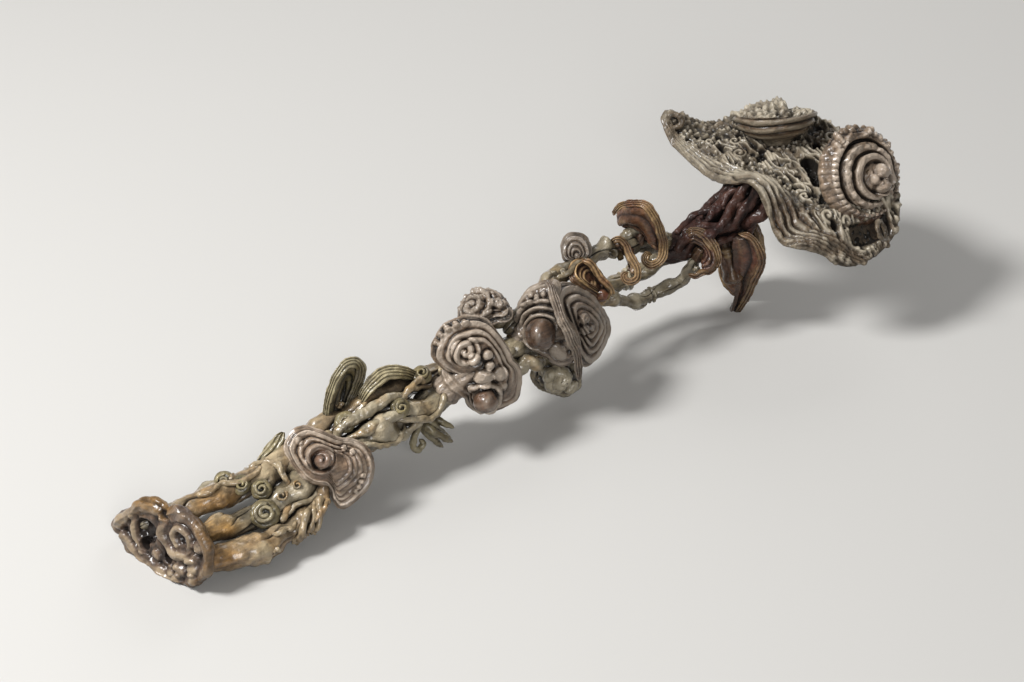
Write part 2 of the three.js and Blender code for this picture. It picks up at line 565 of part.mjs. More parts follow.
pegs.neck_peg = [on(['neck', 3.5]), NECK_TOP.clone().add(vec(0, 0, NECK_PEG_RISE))];
pegs.boss_peg = [bossFrame.point(0, 0, -0.7 * BOSS_HEIGHT), bossFrame.point(0, 0, 0.8 * BOSS_HEIGHT)];
pegs.rosette_peg = [
  rosetteFrame.point(0, 0, -1.2 * ROSETTE_HEIGHT), rosetteFrame.point(0, 0, 0.6 * ROSETTE_HEIGHT),
];

for (const [name, [from, to]] of Object.entries(pegs)) {
  place(name, 'peg', (grow) => {
    const over = to.clone().sub(from).setLength(grow);
    return bar(from.clone().sub(over), to.clone().add(over), PEG_RADIUS + grow);
  });
}

place('tail_plate', 'worn', tailPlate);
const strandFinish = { near_strand: 'worn', upper_strand: 'worn', neck: 'russet' };
for (const [name, knots] of Object.entries(strandKnots)) {
  const widthWay = vec(0, 1, 0);
  place(name, strandFinish[name] ?? 'bamboo', (grow) => {
    return rod(knots, widthWay, STRAND_SIDES, grow);
  });
}
place('head_plate', 'crust', piercedHeadPlate);
place('head_boss', 'crust', (grow) => turned(bossFrame, bossProfile, TURNED_SEGMENTS, grow));
place('head_rosette', 'cap', (grow) => turned(rosetteFrame, rosetteProfile, TURNED_SEGMENTS, grow));
for (const cap of caps) {
  place(cap.name, cap.finish, (grow) => fungusCap(cap, grow));
}
for (const [name, path] of Object.entries(leaves)) {
  const knots = path.map(([station, y, z, half]) => [at(station, y, z), half, LEAF_THICKNESS / 2]);
  place(name, 'leaf', (grow) => rod(knots, vec(0.2, 1, 0), LEAF_SIDES, grow));
}
place('root_tuft', 'leaf', (grow) => {
  return rootlets.map((path) => {
    const knots = path.map(([station, y, z, radius]) => [at(station, y, z), radius, radius]);
    return rod(knots, vec(1, 0, 0), STALK_SIDES, grow);
  }).reduce((tuft, rootlet) => tuft.add(rootlet));
});
for (const curl of curls) {
  place(curl.name, 'leaf', (grow) => snailCurl(curl, grow));
}

// The origin goes under the middle of the footprint
const middle = new THREE.Box3().setFromObject(ruyi).getCenter(vec(0, 0, 0)).setZ(0);
for (const mesh of ruyi.children) mesh.position.sub(middle);

export default ruyi;
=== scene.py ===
"""Looks of a bamboo ruyi scepter, laid out as an add-on and run as a script.

Every piece is made of closed skins, worked out with numpy in millimetres and put into its
mesh in metres. The strands follow the paths of the part's source, and the other pieces
stand at their places in it or near them.
"""
import math
from collections import namedtuple

import bpy
import numpy as np
from bpy.props import FloatProperty, FloatVectorProperty, PointerProperty
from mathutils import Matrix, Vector


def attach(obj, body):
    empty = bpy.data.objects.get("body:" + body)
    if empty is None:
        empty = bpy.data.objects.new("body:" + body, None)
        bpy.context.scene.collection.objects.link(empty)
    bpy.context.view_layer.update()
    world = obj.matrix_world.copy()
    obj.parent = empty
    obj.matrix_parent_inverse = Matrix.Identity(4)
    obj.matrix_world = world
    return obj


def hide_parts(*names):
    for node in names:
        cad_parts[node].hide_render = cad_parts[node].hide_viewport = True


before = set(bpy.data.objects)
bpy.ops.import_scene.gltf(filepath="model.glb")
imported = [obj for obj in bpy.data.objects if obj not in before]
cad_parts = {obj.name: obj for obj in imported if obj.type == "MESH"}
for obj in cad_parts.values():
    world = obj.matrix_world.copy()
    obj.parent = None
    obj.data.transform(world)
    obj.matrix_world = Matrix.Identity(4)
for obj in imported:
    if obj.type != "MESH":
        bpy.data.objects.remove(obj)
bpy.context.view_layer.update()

bl_info = {
    "name": "Bamboo ruyi scepter",
    "version": (1, 0, 0),
    "blender": (4, 5, 0),
    "location": "View3D > Sidebar > Ruyi",
    "description": "Builds the carved pieces of a bamboo ruyi scepter around its frame",
    "category": "Object",
}

METRES = 0.001
TURN = 2 * math.pi
# Sizes shared with the part's source, in millimetres
TAIL_X = -175.0
HANDLE_LENGTH = 300.0
STRAND_RADIUS = 5.5
TAIL_THICKNESS = 7.0
HEAD_LENGTH, HEAD_WIDTH = 70.0, 110.0
BOSS_RADIUS, BOSS_HEIGHT = 19.0, 12.0
ROSETTE_HEIGHT = 9.0
# The middle of the footprint, which is the origin of the frame
MIDDLE = np.array([6.3059, 3.2626, 0.0])
# The way from the scepter to the camera
NEAR_SIDE = np.array([-0.48, -0.65, 0.59])
# The first seed of each group's noise, and the step to its next piece
SEEDS = {
    "strands": (100, 10), "caps": (300, 20), "curls": (700, 5), "leaves": (800, 5), "rootlets": (830, 3),
    "tail": (900, 1), "head": (920, 1), "rings": (931, 1), "boss": (940, 1), "rosette": (950, 1),
    "stump": (955, 1),
}

Skin = namedtuple("Skin", "points carving")
Frame = namedtuple("Frame", "origin up front across")
Plate = namedtuple("Plate", "a b share turn degrees")


# Numbers

def seed_of(group, index=0):
    """The first seed of a piece of a group."""
    first, step = SEEDS[group]
    return first + step * index


def unit(vectors):
    """Vectors scaled to length 1."""
    vectors = np.asarray(vectors, float)
    return vectors / np.maximum(np.linalg.norm(vectors, axis=-1, keepdims=True), 1e-12)


def ramp(low, high, x):
    """0 below low, 1 above high, and 3t^2 - 2t^3 between them. It falls where low is above high."""
    t = np.clip((np.asarray(x, float) - low) / (high - low), 0, 1)
    return t * t * (3 - 2 * t)


def bell(x, width):
    """A bell: e to the power of minus (x / width) squared."""
    return np.exp(-(np.asarray(x, float) / width) ** 2)


def folds(phase, power=0.6):
    """Round ridges with narrow grooves at whole numbers: |sin(pi phase)| to a power."""
    return np.abs(np.sin(math.pi * phase)) ** power


def rounded(x):
    """A quarter round: sqrt(1 - (1 - x)^2) from 0 to 1, and 1 beyond."""
    return np.sqrt(np.clip(1 - (1 - np.minimum(x, 1)) ** 2, 0, 1))


def distance_along(line):
    """The distance from a line's first point to each of its points."""
    return np.concatenate([[0], np.cumsum(np.linalg.norm(np.diff(line, axis=0), axis=1))])


def shuffled(seed):
    """A seeded table of 256 numbers in mixed order, and the generator after it."""
    rng = np.random.default_rng(seed)
    return rng.permutation(256), rng


def picked(table, cell):
    """The table's number for each lattice cell."""
    return table[(table[(table[cell[..., 0] & 255] + cell[..., 1]) & 255] + cell[..., 2]) & 255]


def lumps(points, size, seed):
    """Smooth noise of about -1 to 1 with lumps of that size: seeded slopes at the
    corners of a cubic lattice, blended across each cube by 6t^5 - 15t^4 + 10t^3."""
    table, rng = shuffled(seed)
    slopes = unit(rng.normal(size=(256, 3)))
    scaled = points / size
    cell = np.floor(scaled).astype(int)
    part = scaled - cell
    blend = part ** 3 * (part * (part * 6 - 15) + 10)
    total = 0
    for step in np.ndindex(2, 2, 2):
        corner = np.array(step)
        weight = np.prod(np.where(corner, blend, 1 - blend), axis=-1)
        slope = slopes[picked(table, cell + corner)]
        total = total + weight * np.sum(slope * (part - corner), axis=-1)
    return 1.5 * total


def pebbles(points, size, seed):
    """Distance, in units of size, to the nearest of points strewn one to a cube."""
    table, rng = shuffled(seed)
    spots = rng.random((256, 3))
    scaled = points / size
    cell = np.floor(scaled).astype(int)
    nearest = np.full(points.shape[:-1], 9.0)
    for step in np.ndindex(3, 3, 3):
        near = cell + np.array(step) - 1
        gap = np.linalg.norm(near + spots[picked(table, near)] - scaled, axis=-1)
        nearest = np.minimum(nearest, gap)
    return nearest


def layers(points, seed, rows):
    """A sum of lumps: each row is a height, a size and a step of the seed."""
    return sum(height * lumps(points, size, seed + step) for height, size, step in rows)


def patched(points, size, seed, low, high):
    """Soft patches of 0 and 1: lumps of that size, ramped from low to high."""
    return ramp(low, high, lumps(points, size, seed))


def grains(points, size, seed, reach=0.6, power=2):
    """Round grains: 1 - (distance / reach)^power about points strewn one to a cube."""
    return 1 - np.minimum(pebbles(points, size, seed) / reach, 1) ** power


# Paths and frames

def at(station, y, z):
    """A place on the handle: station 0 is the tail plate and 100 the foot of the neck."""
    return np.array([TAIL_X + HANDLE_LENGTH * station / 100, y, z], float)


def frame_on(origin, normal, toward):
    """A frame on a point: the normal, the way toward in its plane, and the way across."""
    up = unit(normal)
    toward = np.asarray(toward, float)
    front = unit(toward - up * (toward @ up))
    return Frame(np.asarray(origin, float), up, front, np.cross(up, front))


def point(place, a, b, h):
    """The point a forward, b across and h up in a frame."""
    a, b, h = (np.asarray(x, float)[..., None] for x in (a, b, h))
    return place.origin + a * place.front + b * place.across + h * place.up


def spline(knots, t):
    """A centripetal Catmull-Rom curve through the knots: a cubic on each span whose end
    slopes weigh the neighbouring chords by the square roots of their lengths."""
    knots = np.asarray(knots, float)
    ends = np.vstack([2 * knots[0] - knots[1], knots, 2 * knots[-1] - knots[-2]])
    steps = np.linalg.norm(np.diff(ends, axis=0), axis=1)[:, None] ** 0.5
    spans = len(knots) - 1
    x = np.clip(np.asarray(t, float), 0, 1) * spans
    i = np.minimum(x.astype(int), spans - 1)
    w = (x - i)[:, None]
    p0, p1, p2, p3 = ends[i], ends[i + 1], ends[i + 2], ends[i + 3]
    d0, d1, d2 = steps[i], steps[i + 1], steps[i + 2]
    m1 = d1 * ((p1 - p0) / d0 - (p2 - p0) / (d0 + d1) + (p2 - p1) / d1)
    m2 = d1 * ((p2 - p1) / d1 - (p3 - p1) / (d1 + d2) + (p3 - p2) / d2)
    return p1 + w * (m1 + w * (3 * (p2 - p1) - 2 * m1 - m2 + w * (2 * (p1 - p2) + m1 + m2)))


def blended(values, t):
    """Values at the knots, blended smoothly along t."""
    values = np.asarray(values, float)
    x = np.clip(t, 0, 1) * (len(values) - 1)
    i = np.minimum(x.astype(int), len(values) - 2)
    w = ramp(0, 1, x - i)
    w = w.reshape(w.shape + (1,) * (values.ndim - 1))
    return values[i] * (1 - w) + values[i + 1] * w


def around(count):
    """Angles all the way round, one to a column."""
    return np.arange(count)[None, :] * TURN / count


# Skins: grids of points whose first and last rows are poles and whose columns close

def normals(points):
    """Outward normals of a closed grid: the cross product of its two differences, turned
    so that the skin's volume is positive."""
    along = np.gradient(points, axis=0)
    across = np.roll(points, -1, axis=1) - np.roll(points, 1, axis=1)
    found = unit(np.cross(along, across))
    return found if volume(points) > 0 else -found


def volume(points):
    """Six times the signed volume inside a closed grid."""
    a, b = points[:-1], points[1:]
    c, d = np.roll(b, -1, axis=1), np.roll(a, -1, axis=1)
    centre = points.mean(axis=(0, 1))
    a, b, c, d = a - centre, b - centre, c - centre, d - centre
    return np.sum(a * np.cross(b, c)) + np.sum(a * np.cross(c, d))


def carved(points, lift, fine, tone=0.0, wear_and_highlight=0.0, depth=1.0):
    """A skin lifted along its normals. fine is the part of the lift that counts as
    relief: depth below becomes 0 and depth above becomes 1."""
    lift = np.broadcast_to(lift, points.shape[:2])
    relief = np.clip(0.5 + np.broadcast_to(fine, points.shape[:2]) / (2 * depth), 0, 1)
    tone = np.broadcast_to(tone, relief.shape)
    wear_and_highlight = np.broadcast_to(wear_and_highlight, relief.shape)
    moved = points + normals(points) * lift[..., None]
    return Skin(moved, np.stack([relief, np.clip(tone, 0, 1), np.clip(wear_and_highlight, 0, 1)], axis=-1))


def rod_grid(knots, halves, way, rows, cols, nose, facing=False):
    """A rod along a spline: at each row an ellipse across the path, shrinking to a round
    nose at each end. Its width lies along way, or, where it is facing way, across it. Also
    gives the share along, the angle round and the distance along."""
    t = np.linspace(0, 1, rows)
    centre = spline(knots, t)
    tangent = unit(np.gradient(centre, axis=0))
    way = np.asarray(way, float)
    side = unit(np.cross(tangent, way) if facing else way - tangent * (tangent @ way)[:, None])
    rise = np.cross(tangent, side)
    run = distance_along(centre)
    half = blended(halves, t)
    shrink = rounded(np.minimum(run, run[-1] - run) / nose)[:, None, None]
    angle = around(cols)[..., None]
    wide = side[:, None] * np.cos(angle) * half[:, None, :1]
    tall = rise[:, None] * np.sin(angle) * half[:, None, 1:]
    return centre[:, None] + shrink * (wide + tall), t[:, None], angle[..., 0], run[:, None]


def round_rod(path, radius, way, rows, cols, nose):
    """The points of a rod of one radius."""
    return rod_grid(path, np.full((len(path), 2), radius), way, rows, cols, nose)[0]


def ball(centre, radius, tone=0.0, wear_and_highlight=0.0, rough=0.0, seed=0, cols=20):
    """A ball, its radius varied by lumps as large as itself."""
    polar = np.linspace(0, math.pi, cols // 2 + 2)[:, None]
    angle = around(cols)
    way = np.stack([np.sin(polar) * np.cos(angle), np.sin(polar) * np.sin(angle),
                    np.cos(polar) + 0 * angle], axis=-1)
    points = np.asarray(centre, float) + radius * way
    lift = rough * lumps(points, 0.8 * radius, seed)
    return carved(points, lift, lift + 0.2, tone, wear_and_highlight)


def closed_outline(corners, count):
    """A closed Catmull-Rom curve through the corners, resampled at even steps."""
    corners = np.asarray(corners, float)
    looped = np.vstack([corners[-3:], corners, corners[:3]])
    spans = len(looped) - 1
    fine = spline(looped, np.linspace(3 / spans, (3 + len(corners)) / spans, 40 * count))
    run = distance_along(fine)
    steps = np.arange(count) * run[-1] / count
    return np.stack([np.interp(steps, run, fine[:, k]) for k in (0, 1)], axis=-1)


def oval(front, back, side, middle=(0, 0), count=16):
    """Corners of two half ellipses that meet at the sides."""
    angle = np.arange(count) * TURN / count
    cos = np.cos(angle)
    return np.stack([middle[0] + np.where(cos > 0, front, back) * cos,
                     middle[1] + side * np.sin(angle)], axis=-1)


def plate_grid(outline, centre, cols, top, rim, under, thickness):
    """Rows from the centre of a face out to its outline, round a half round rim, and back
    in on the other side: each point lies at a share of the way from centre to outline.
    turn goes from 0 on the face to 1 on the back."""
    edge = closed_outline(outline, cols)
    step = unit(np.roll(edge, -1, 0) - np.roll(edge, 1, 0))
    left = np.sum(edge[:, 0] * np.roll(edge[:, 1], -1) - edge[:, 1] * np.roll(edge[:, 0], -1))
    out = step[:, ::-1] * (1, -1) * np.sign(left)
    share = np.concatenate([np.linspace(0, 1, top), np.ones(rim), np.linspace(1, 0, under)])[:, None]
    turn = np.concatenate([np.zeros(top), np.linspace(0, 1, rim + 2)[1:-1], np.ones(under)])[:, None]
    bulge = thickness / 2 * np.sin(math.pi * turn)
    a = centre[0] + share * (edge[:, 0] - centre[0]) + bulge * out[:, 0]
    b = centre[1] + share * (edge[:, 1] - centre[1]) + bulge * out[:, 1]
    degrees = np.degrees(np.arctan2(edge[:, 1] - centre[1], edge[:, 0] - centre[0]))[None, :]
    return Plate(a, b, share, turn, degrees)


def to_line(a, b, line):
    """The distance from each point of a plane to a smooth line through some points."""
    line = spline(line, np.linspace(0, 1, 6 * len(line)))
    spot = np.stack(np.broadcast_arrays(a, b), axis=-1)
    best = np.full(spot.shape[:-1], 1e9)
    for start, end in zip(line[:-1], line[1:]):
        way = end - start
        t = np.clip(((spot - start) @ way) / (way @ way), 0, 1)
        best = np.minimum(best, np.linalg.norm(spot - start - t[..., None] * way, axis=-1))
    return best


def rope(distance, half, height):
    """A raised rope, height (1 - (d / half)^2), with a shallow groove along its foot."""
    raised = np.clip(1 - (distance / half) ** 2, 0, 1)
    return height * raised - 0.4 * height * bell(distance - 1.25 * half, 0.35 * half)


def window(degrees, start, end, soft=14):
    """1 between two angles in degrees, fading to 0 beyond them."""
    half = (end - start) / 2
    off = np.abs((degrees - start - half + 180) % 360 - 180)
    return ramp(half + soft, half - soft, off)


def whorl(a, b, centre, radius, turns):
    """Relief of a small scroll: ridges along turns r / radius - angle / turn."""
    x, y = a - centre[0], b - centre[1]
    r = np.hypot(x, y)
    ridges = folds(turns * r / radius - np.arctan2(y, x) / TURN) - 0.45
    return ridges * ramp(radius, 0.8 * radius, r)


def round_spots(a, b, spots, inner, outer):
    """A sum of round spots (a, b, radius): 1 within inner radii, and 0 beyond outer radii."""
    return sum(ramp(outer * r, inner * r, np.hypot(a - x, b - y)) for x, y, r in spots)


def face_lift(grid, carving):
    """Lift of a plate's face, in mm, from its list of carving:
    ridges along the rim (count, inner share, from, to, height), rings about a point
    (a, b, radius, half width, height, from, to), whorls (a, b, radius, turns, height),
    ropes (half width, height, line), knobs (a, b, radius, height), pits (a, b, radius, depth)."""
    a, b = grid.a, grid.b
    lift = np.zeros(np.broadcast_shapes(a.shape, grid.share.shape))
    for count, inner, start, end, height in carving.get("ridges", ()):
        phase = count * (grid.share - inner) / (1 - inner)
        near = ramp(inner - 0.04, inner + 0.04, grid.share) * window(grid.degrees, start, end)
        lift = lift + height * (folds(phase) - 0.55) * near
    for x, y, radius, half, height, start, end in carving.get("rings", ()):
        r, turned = np.hypot(a - x, b - y), np.degrees(np.arctan2(b - y, a - x))
        lift = lift + rope(np.abs(r - radius), half, height) * window(turned, start, end)
    for x, y, radius, turns, height in carving.get("whorls", ()):
        lift = lift + height * whorl(a, b, (x, y), radius, turns)
    for half, height, line in carving.get("ropes", ()):
        lift = lift + rope(to_line(a, b, line), half, height)
    for x, y, radius, height in carving.get("knobs", ()):
        r = np.hypot(a - x, b - y)
        lift = lift + height * np.sqrt(np.clip(1 - (r / radius) ** 2, 0, 1))
        lift = lift - 0.3 * height * bell(r - 1.15 * radius, 0.25 * radius)
    for *pit, depth in carving.get("pits", ()):
        lift = lift - depth * round_spots(a, b, [pit], 0.55, 1.1)
    return lift


def band_skin(knots, half, count, seed):
    """A ridged band: a flat rod that faces the near side, slimmer at its ends, with ridges
    along it where count times the place across isn't whole."""
    knots = np.asarray(knots, float)
    size = np.sin(np.linspace(0.5, 2.6, len(knots)))[:, None]
    rows = int(distance_along(knots)[-1] / 0.4) + 12
    points, _, angle, _ = rod_grid(knots, size * (0.85 * half, 1.6), NEAR_SIDE, rows, cols=72, nose=half,
                                   facing=True)
    across = np.cos(angle)
    ridges = folds(count * (across + 1) / 2 + 0.28 * lumps(points, 8, seed)) - 0.5
    lift = ridges + 0.5 * across + layers(points, seed, ((0.6, 5, 1), (0.35, 2, 3)))
    tone = 0.5 * patched(points, 9, seed + 2, -0.2, 0.5)
    return carved(points, lift, ridges, tone, wear_and_highlight=0.55, depth=0.8)


def hood_skin(rim, inner, bulge, rings, hollow, seed):
    """A cupped sheet: straight ribs from an inner curve to a rim curve, bowed by
    bulge sin(pi u) along their normal, with rings where count times u^0.8 isn't whole. Its
    section at each place along the rim is a flat loop out to the rim and back. hollow is
    taken off the relief towards the inner curve, which darkens the cup as painted shade."""
    t = np.linspace(0, 1, 110)
    edge, foot = spline(rim, t), spline(inner, t)
    rib = edge - foot
    normal = unit(np.cross(np.gradient(edge, axis=0), rib))
    shrink = rounded(np.minimum(t, 1 - t) / 0.07)[:, None]
    angle = around(132)
    u = 0.5 - 0.5 * shrink * np.cos(angle)
    off = bulge * np.sin(math.pi * u) + 1.3 * shrink * np.sin(angle)
    points = foot[:, None] + rib[:, None] * u[..., None] + normal[:, None] * off[..., None]
    ridges = 1.1 * (folds(rings * u ** 0.8 + 0.25 * lumps(points, 11, seed)) - 0.6)
    ridges = ridges * ramp(0.12, 0.3, u) * shrink
    rough = 0.5 * lumps(points, 5, seed + 1) * (1 - 0.5 * u) + 0.15 * lumps(points, 1.8, seed + 2)
    tone = 0.6 * patched(points, 10, seed + 3, -0.2, 0.4)
    # Painted shade: the cup is darkened towards its inner curve
    fine = ridges - hollow * ramp(0.9, 0.4, u)
    return carved(points, ridges + rough, fine, tone, wear_and_highlight=0.5 * ramp(0.85, 1, u), depth=0.9)


def coil_skin(place, radius, turns, sense, seed):
    """A snail: a rod wound inward on an arm r = 0.8 radius (1 - 0.8 t), rising to its middle."""
    t = np.linspace(0, 1, 15)
    arm = 0.8 * radius * (1 - 0.8 * t)
    spin = sense * TURN * turns * t + 0.8
    path = point(place, arm * np.cos(spin), 0.92 * arm * np.sin(spin), 0.9 * t)
    thick = radius * np.interp(t, [0, 0.6, 1], [0.2, 0.17, 0.22])
    halves = np.stack([1.4 * thick, thick], axis=-1)
    coil = rod_grid(path, halves, place.up, rows=130, cols=20, nose=0.25 * radius)[0]
    lift = 0.4 * lumps(coil, 2.5, seed + 1)
    return carved(coil, lift, lift + 0.1, tone=0.7 * patched(coil, 5, seed + 2, -0.3, 0.4), wear_and_highlight=0.35)


# Putting skins into meshes

def put(name, skins, material, node, shade=1.0):
    """One mesh of several skins, in metres, standing for a CAD node: each grid gives a fan
    at each pole and quads between its rows. Its attribute holds the carving, and as alpha
    the shade that its colour is multiplied by."""
    spots, carvings, loops, sizes, base = [], [], [], [], 0
    for skin in skins:
        rows, cols = skin.points.shape[:2]
        spots += [skin.points[0, :1], skin.points[1:-1].reshape(-1, 3), skin.points[-1, :1]]
        carvings += [skin.carving[0, :1], skin.carving[1:-1].reshape(-1, 3), skin.carving[-1, :1]]
        ring = base + 1 + np.arange((rows - 2) * cols).reshape(rows - 2, cols)
        after = np.roll(ring, -1, axis=1)
        last = base + (rows - 2) * cols + 1
        first_fan = np.stack([np.full(cols, base), ring[0], after[0]], axis=-1)
        last_fan = np.stack([np.full(cols, last), after[-1], ring[-1]], axis=-1)
        quads = np.stack([ring[:-1], ring[1:], after[1:], after[:-1]], axis=-1).reshape(-1, 4)
        for faces in (first_fan, quads, last_fan):
            faces = faces if volume(skin.points) > 0 else faces[:, ::-1]
            loops.append(faces.ravel())
            sizes.append(np.full(len(faces), faces.shape[1]))
        base = last + 1
    spots = (np.concatenate(spots) - MIDDLE) * METRES
    spots[:, 2] = np.maximum(spots[:, 2], 0)
    carvings = np.concatenate(carvings)
    loops, sizes = np.concatenate(loops), np.concatenate(sizes)
    mesh = bpy.data.meshes.new(name)
    mesh.vertices.add(len(spots))
    mesh.vertices.foreach_set("co", spots.astype(np.float32).ravel())
    mesh.loops.add(len(loops))
    mesh.loops.foreach_set("vertex_index", loops.astype(np.int32))
    mesh.polygons.add(len(sizes))
    mesh.polygons.foreach_set("loop_start", (np.cumsum(sizes) - sizes).astype(np.int32))
    mesh.update(calc_edges=True)
    colour = mesh.attributes.new("carving", "FLOAT_COLOR", "POINT")
    rgba = np.column_stack([carvings, np.full(len(carvings), shade)])
    colour.data.foreach_set("color", rgba.astype(np.float32).ravel())
    mesh.shade_smooth()
    if mesh.validate():
        raise RuntimeError(f"{name} had faces that are not valid")
    mesh.materials.append(material)
    piece = bpy.data.objects.new(name, mesh)
    bpy.context.scene.collection.objects.link(piece)
    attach(piece, "root")
    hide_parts(node)
    return piece


# Materials

def linear(hex_colour):
    """An sRGB hex colour as linear red, green, blue and 1."""
    parts = [int(hex_colour[k:k + 2], 16) / 255 for k in (1, 3, 5)]
    turned = [c / 12.92 if c <= 0.04045 else ((c + 0.055) / 1.055) ** 2.4 for c in parts]
    return (*turned, 1.0)


def add(tree, kind, inputs=(), **settings):
    """Adds a node: settings are its own, inputs are values to set or outputs to link."""
    made = tree.nodes.new(kind)
    for key, value in settings.items():
        setattr(made, key, value)
    for key, value in dict(inputs).items():
        if isinstance(value, bpy.types.NodeSocket):
            tree.links.new(value, made.inputs[key])
        else:
            made.inputs[key].default_value = value
    return made


def per_metre(millimetres):
    """A texture scale whose lumps are about that many millimetres across."""
    return 1000 / millimetres


# Sizes of grit and blotches; then the reach of dirt and painted shade into corners and the depth of bumps,
# in metres
GRIT_MM, BLOTCH_MM = 0.9, 3.2
DIRT_AND_SHADE_REACH = 0.009
BUMP_DEPTH = 0.0006


def carved_bamboo(name, deep, body, second, tint, high, patch_mm, fibre_mm, roughness, coat):
    """Carved bamboo with an old hand polish. deep fills the grooves and, by ambient occlusion,
    the corners and gaps between pieces, as dirt and painted shade; body and second drift into
    each other in patches, tint follows the tone that the carving stores, and high shows on worn
    ridges and as a painted highlight on crests and along roots' tops. Fibres run along the handle."""
    material = bpy.data.materials.new(name)
    material.use_nodes = True
    tree = material.node_tree
    tree.nodes.clear()
    place = add(tree, "ShaderNodeTexCoord").outputs["Object"]
    carving = add(tree, "ShaderNodeAttribute", attribute_name="carving").outputs
    parts = add(tree, "ShaderNodeSeparateColor", {"Color": carving["Color"]}).outputs
    relief, tone, wear_and_highlight = parts[0], parts[1], parts[2]
    stretched = add(tree, "ShaderNodeMapping",
                    {"Vector": place, "Scale": (0.12, 1.0, 1.0)}).outputs["Vector"]
    patches, fibres, grit, blotches = (
        add(tree, "ShaderNodeTexNoise",
            {"Vector": vector, "Scale": per_metre(size), "Detail": detail}).outputs["Fac"]
        for vector, size, detail in ((place, patch_mm, 3.0), (stretched, fibre_mm, 2.0),
                                     (place, GRIT_MM, 2.0), (place, BLOTCH_MM, 2.0)))
    drift = add(tree, "ShaderNodeMapRange",
                {0: patches, 1: 0.38, 2: 0.62}).outputs["Result"]
    colour = add(tree, "ShaderNodeMix", {0: drift, 6: body, 7: linear(second)},
                 data_type="RGBA").outputs[2]
    colour = add(tree, "ShaderNodeMix", {0: tone, 6: colour, 7: tint},
                 data_type="RGBA").outputs[2]
    streak = add(tree, "ShaderNodeMapRange",
                 {0: fibres, 1: 0.3, 2: 0.7, 3: 0.7, 4: 1.24}).outputs["Result"]
    cloud = add(tree, "ShaderNodeMapRange",
                {0: blotches, 1: 0.34, 2: 0.66, 3: 0.66, 4: 1.38}).outputs["Result"]
    shade = add(tree, "ShaderNodeMath", {0: streak, 1: cloud}, operation="MULTIPLY").outputs[0]
    colour = add(tree, "ShaderNodeMix", {0: 1.0, 6: colour, 7: shade},
                 data_type="RGBA", blend_type="MULTIPLY").outputs[2]
    # Pale high colour on crests and where wear is marked: worn ridges, and a painted highlight on crests
    # and on the tops of roots
    crest = add(tree, "ShaderNodeMapRange",
                {0: relief, 1: 0.54, 2: 0.86, 3: 0.0, 4: 0.85}).outputs["Result"]
    rubbed = add(tree, "ShaderNodeMath", {0: crest, 1: wear_and_highlight}, operation="MAXIMUM").outputs[0]
    worn = add(tree, "ShaderNodeMath", {0: rubbed, 1: drift}, operation="ADD").outputs[0]
    worn_share = add(tree, "ShaderNodeMapRange",
                     {0: worn, 1: 0.35, 2: 1.4, 3: 0.0, 4: 0.95}).outputs["Result"]
    plain = add(tree, "ShaderNodeMapRange", {0: tone, 3: 1.0, 4: 0.35}).outputs["Result"]
    showing = add(tree, "ShaderNodeMath", {0: worn_share, 1: plain}, operation="MULTIPLY").outputs[0]
    showing = add(tree, "ShaderNodeMath", {0: rubbed, 1: showing}, operation="MULTIPLY").outputs[0]
    colour = add(tree, "ShaderNodeMix", {0: showing, 6: colour, 7: linear(high)},
                 data_type="RGBA").outputs[2]
    colour = add(tree, "ShaderNodeMix", {0: 1.0, 6: colour, 7: carving["Alpha"]},
                 data_type="RGBA", blend_type="MULTIPLY").outputs[2]
    # Dark fill, as dirt in the grooves and painted shade: low relief, and the corners and gaps that ambient
    # occlusion finds, take the deep colour
    hollow = add(tree, "ShaderNodeMapRange",
                 {0: relief, 1: 0.52, 2: 0.14, 3: 0.0, 4: 0.96}).outputs["Result"]
    nook = add(tree, "ShaderNodeAmbientOcclusion", {"Distance": DIRT_AND_SHADE_REACH}, samples=4).outputs["AO"]
    shut = add(tree, "ShaderNodeMapRange",
               {0: nook, 1: 0.76, 2: 0.24, 3: 0.0, 4: 0.95}).outputs["Result"]
    dirt_and_shade = add(tree, "ShaderNodeMath", {0: hollow, 1: shut}, operation="MAXIMUM").outputs[0]
    colour = add(tree, "ShaderNodeMix", {0: dirt_and_shade, 6: colour, 7: linear(deep)},
                 data_type="RGBA").outputs[2]
    dull = add(tree, "ShaderNodeMapRange",
               {0: grit, 1: 0.3, 2: 0.7, 3: roughness - 0.09, 4: roughness + 0.12}).outputs["Result"]
    gloss = add(tree, "ShaderNodeMath", {0: dirt_and_shade, 1: 0.6, 2: dull},
                operation="MULTIPLY_ADD").outputs[0]
    grain = add(tree, "ShaderNodeMath", {0: fibres, 1: grit}, operation="ADD").outputs[0]
    uneven = add(tree, "ShaderNodeMath", {0: blotches, 1: 2.2, 2: grain},
                 operation="MULTIPLY_ADD").outputs[0]
    bump = add(tree, "ShaderNodeBump",
               {"Height": uneven, "Strength": 0.55, "Distance": BUMP_DEPTH}).outputs["Normal"]
    shader = add(tree, "ShaderNodeBsdfPrincipled", {
        "Base Color": colour, "Roughness": gloss, "Normal": bump, "IOR": 1.58,
        "Specular IOR Level": 0.25, "Coat Weight": coat, "Coat Roughness": 0.19}).outputs[0]
    add(tree, "ShaderNodeOutputMaterial", {"Surface": shader})
    return material
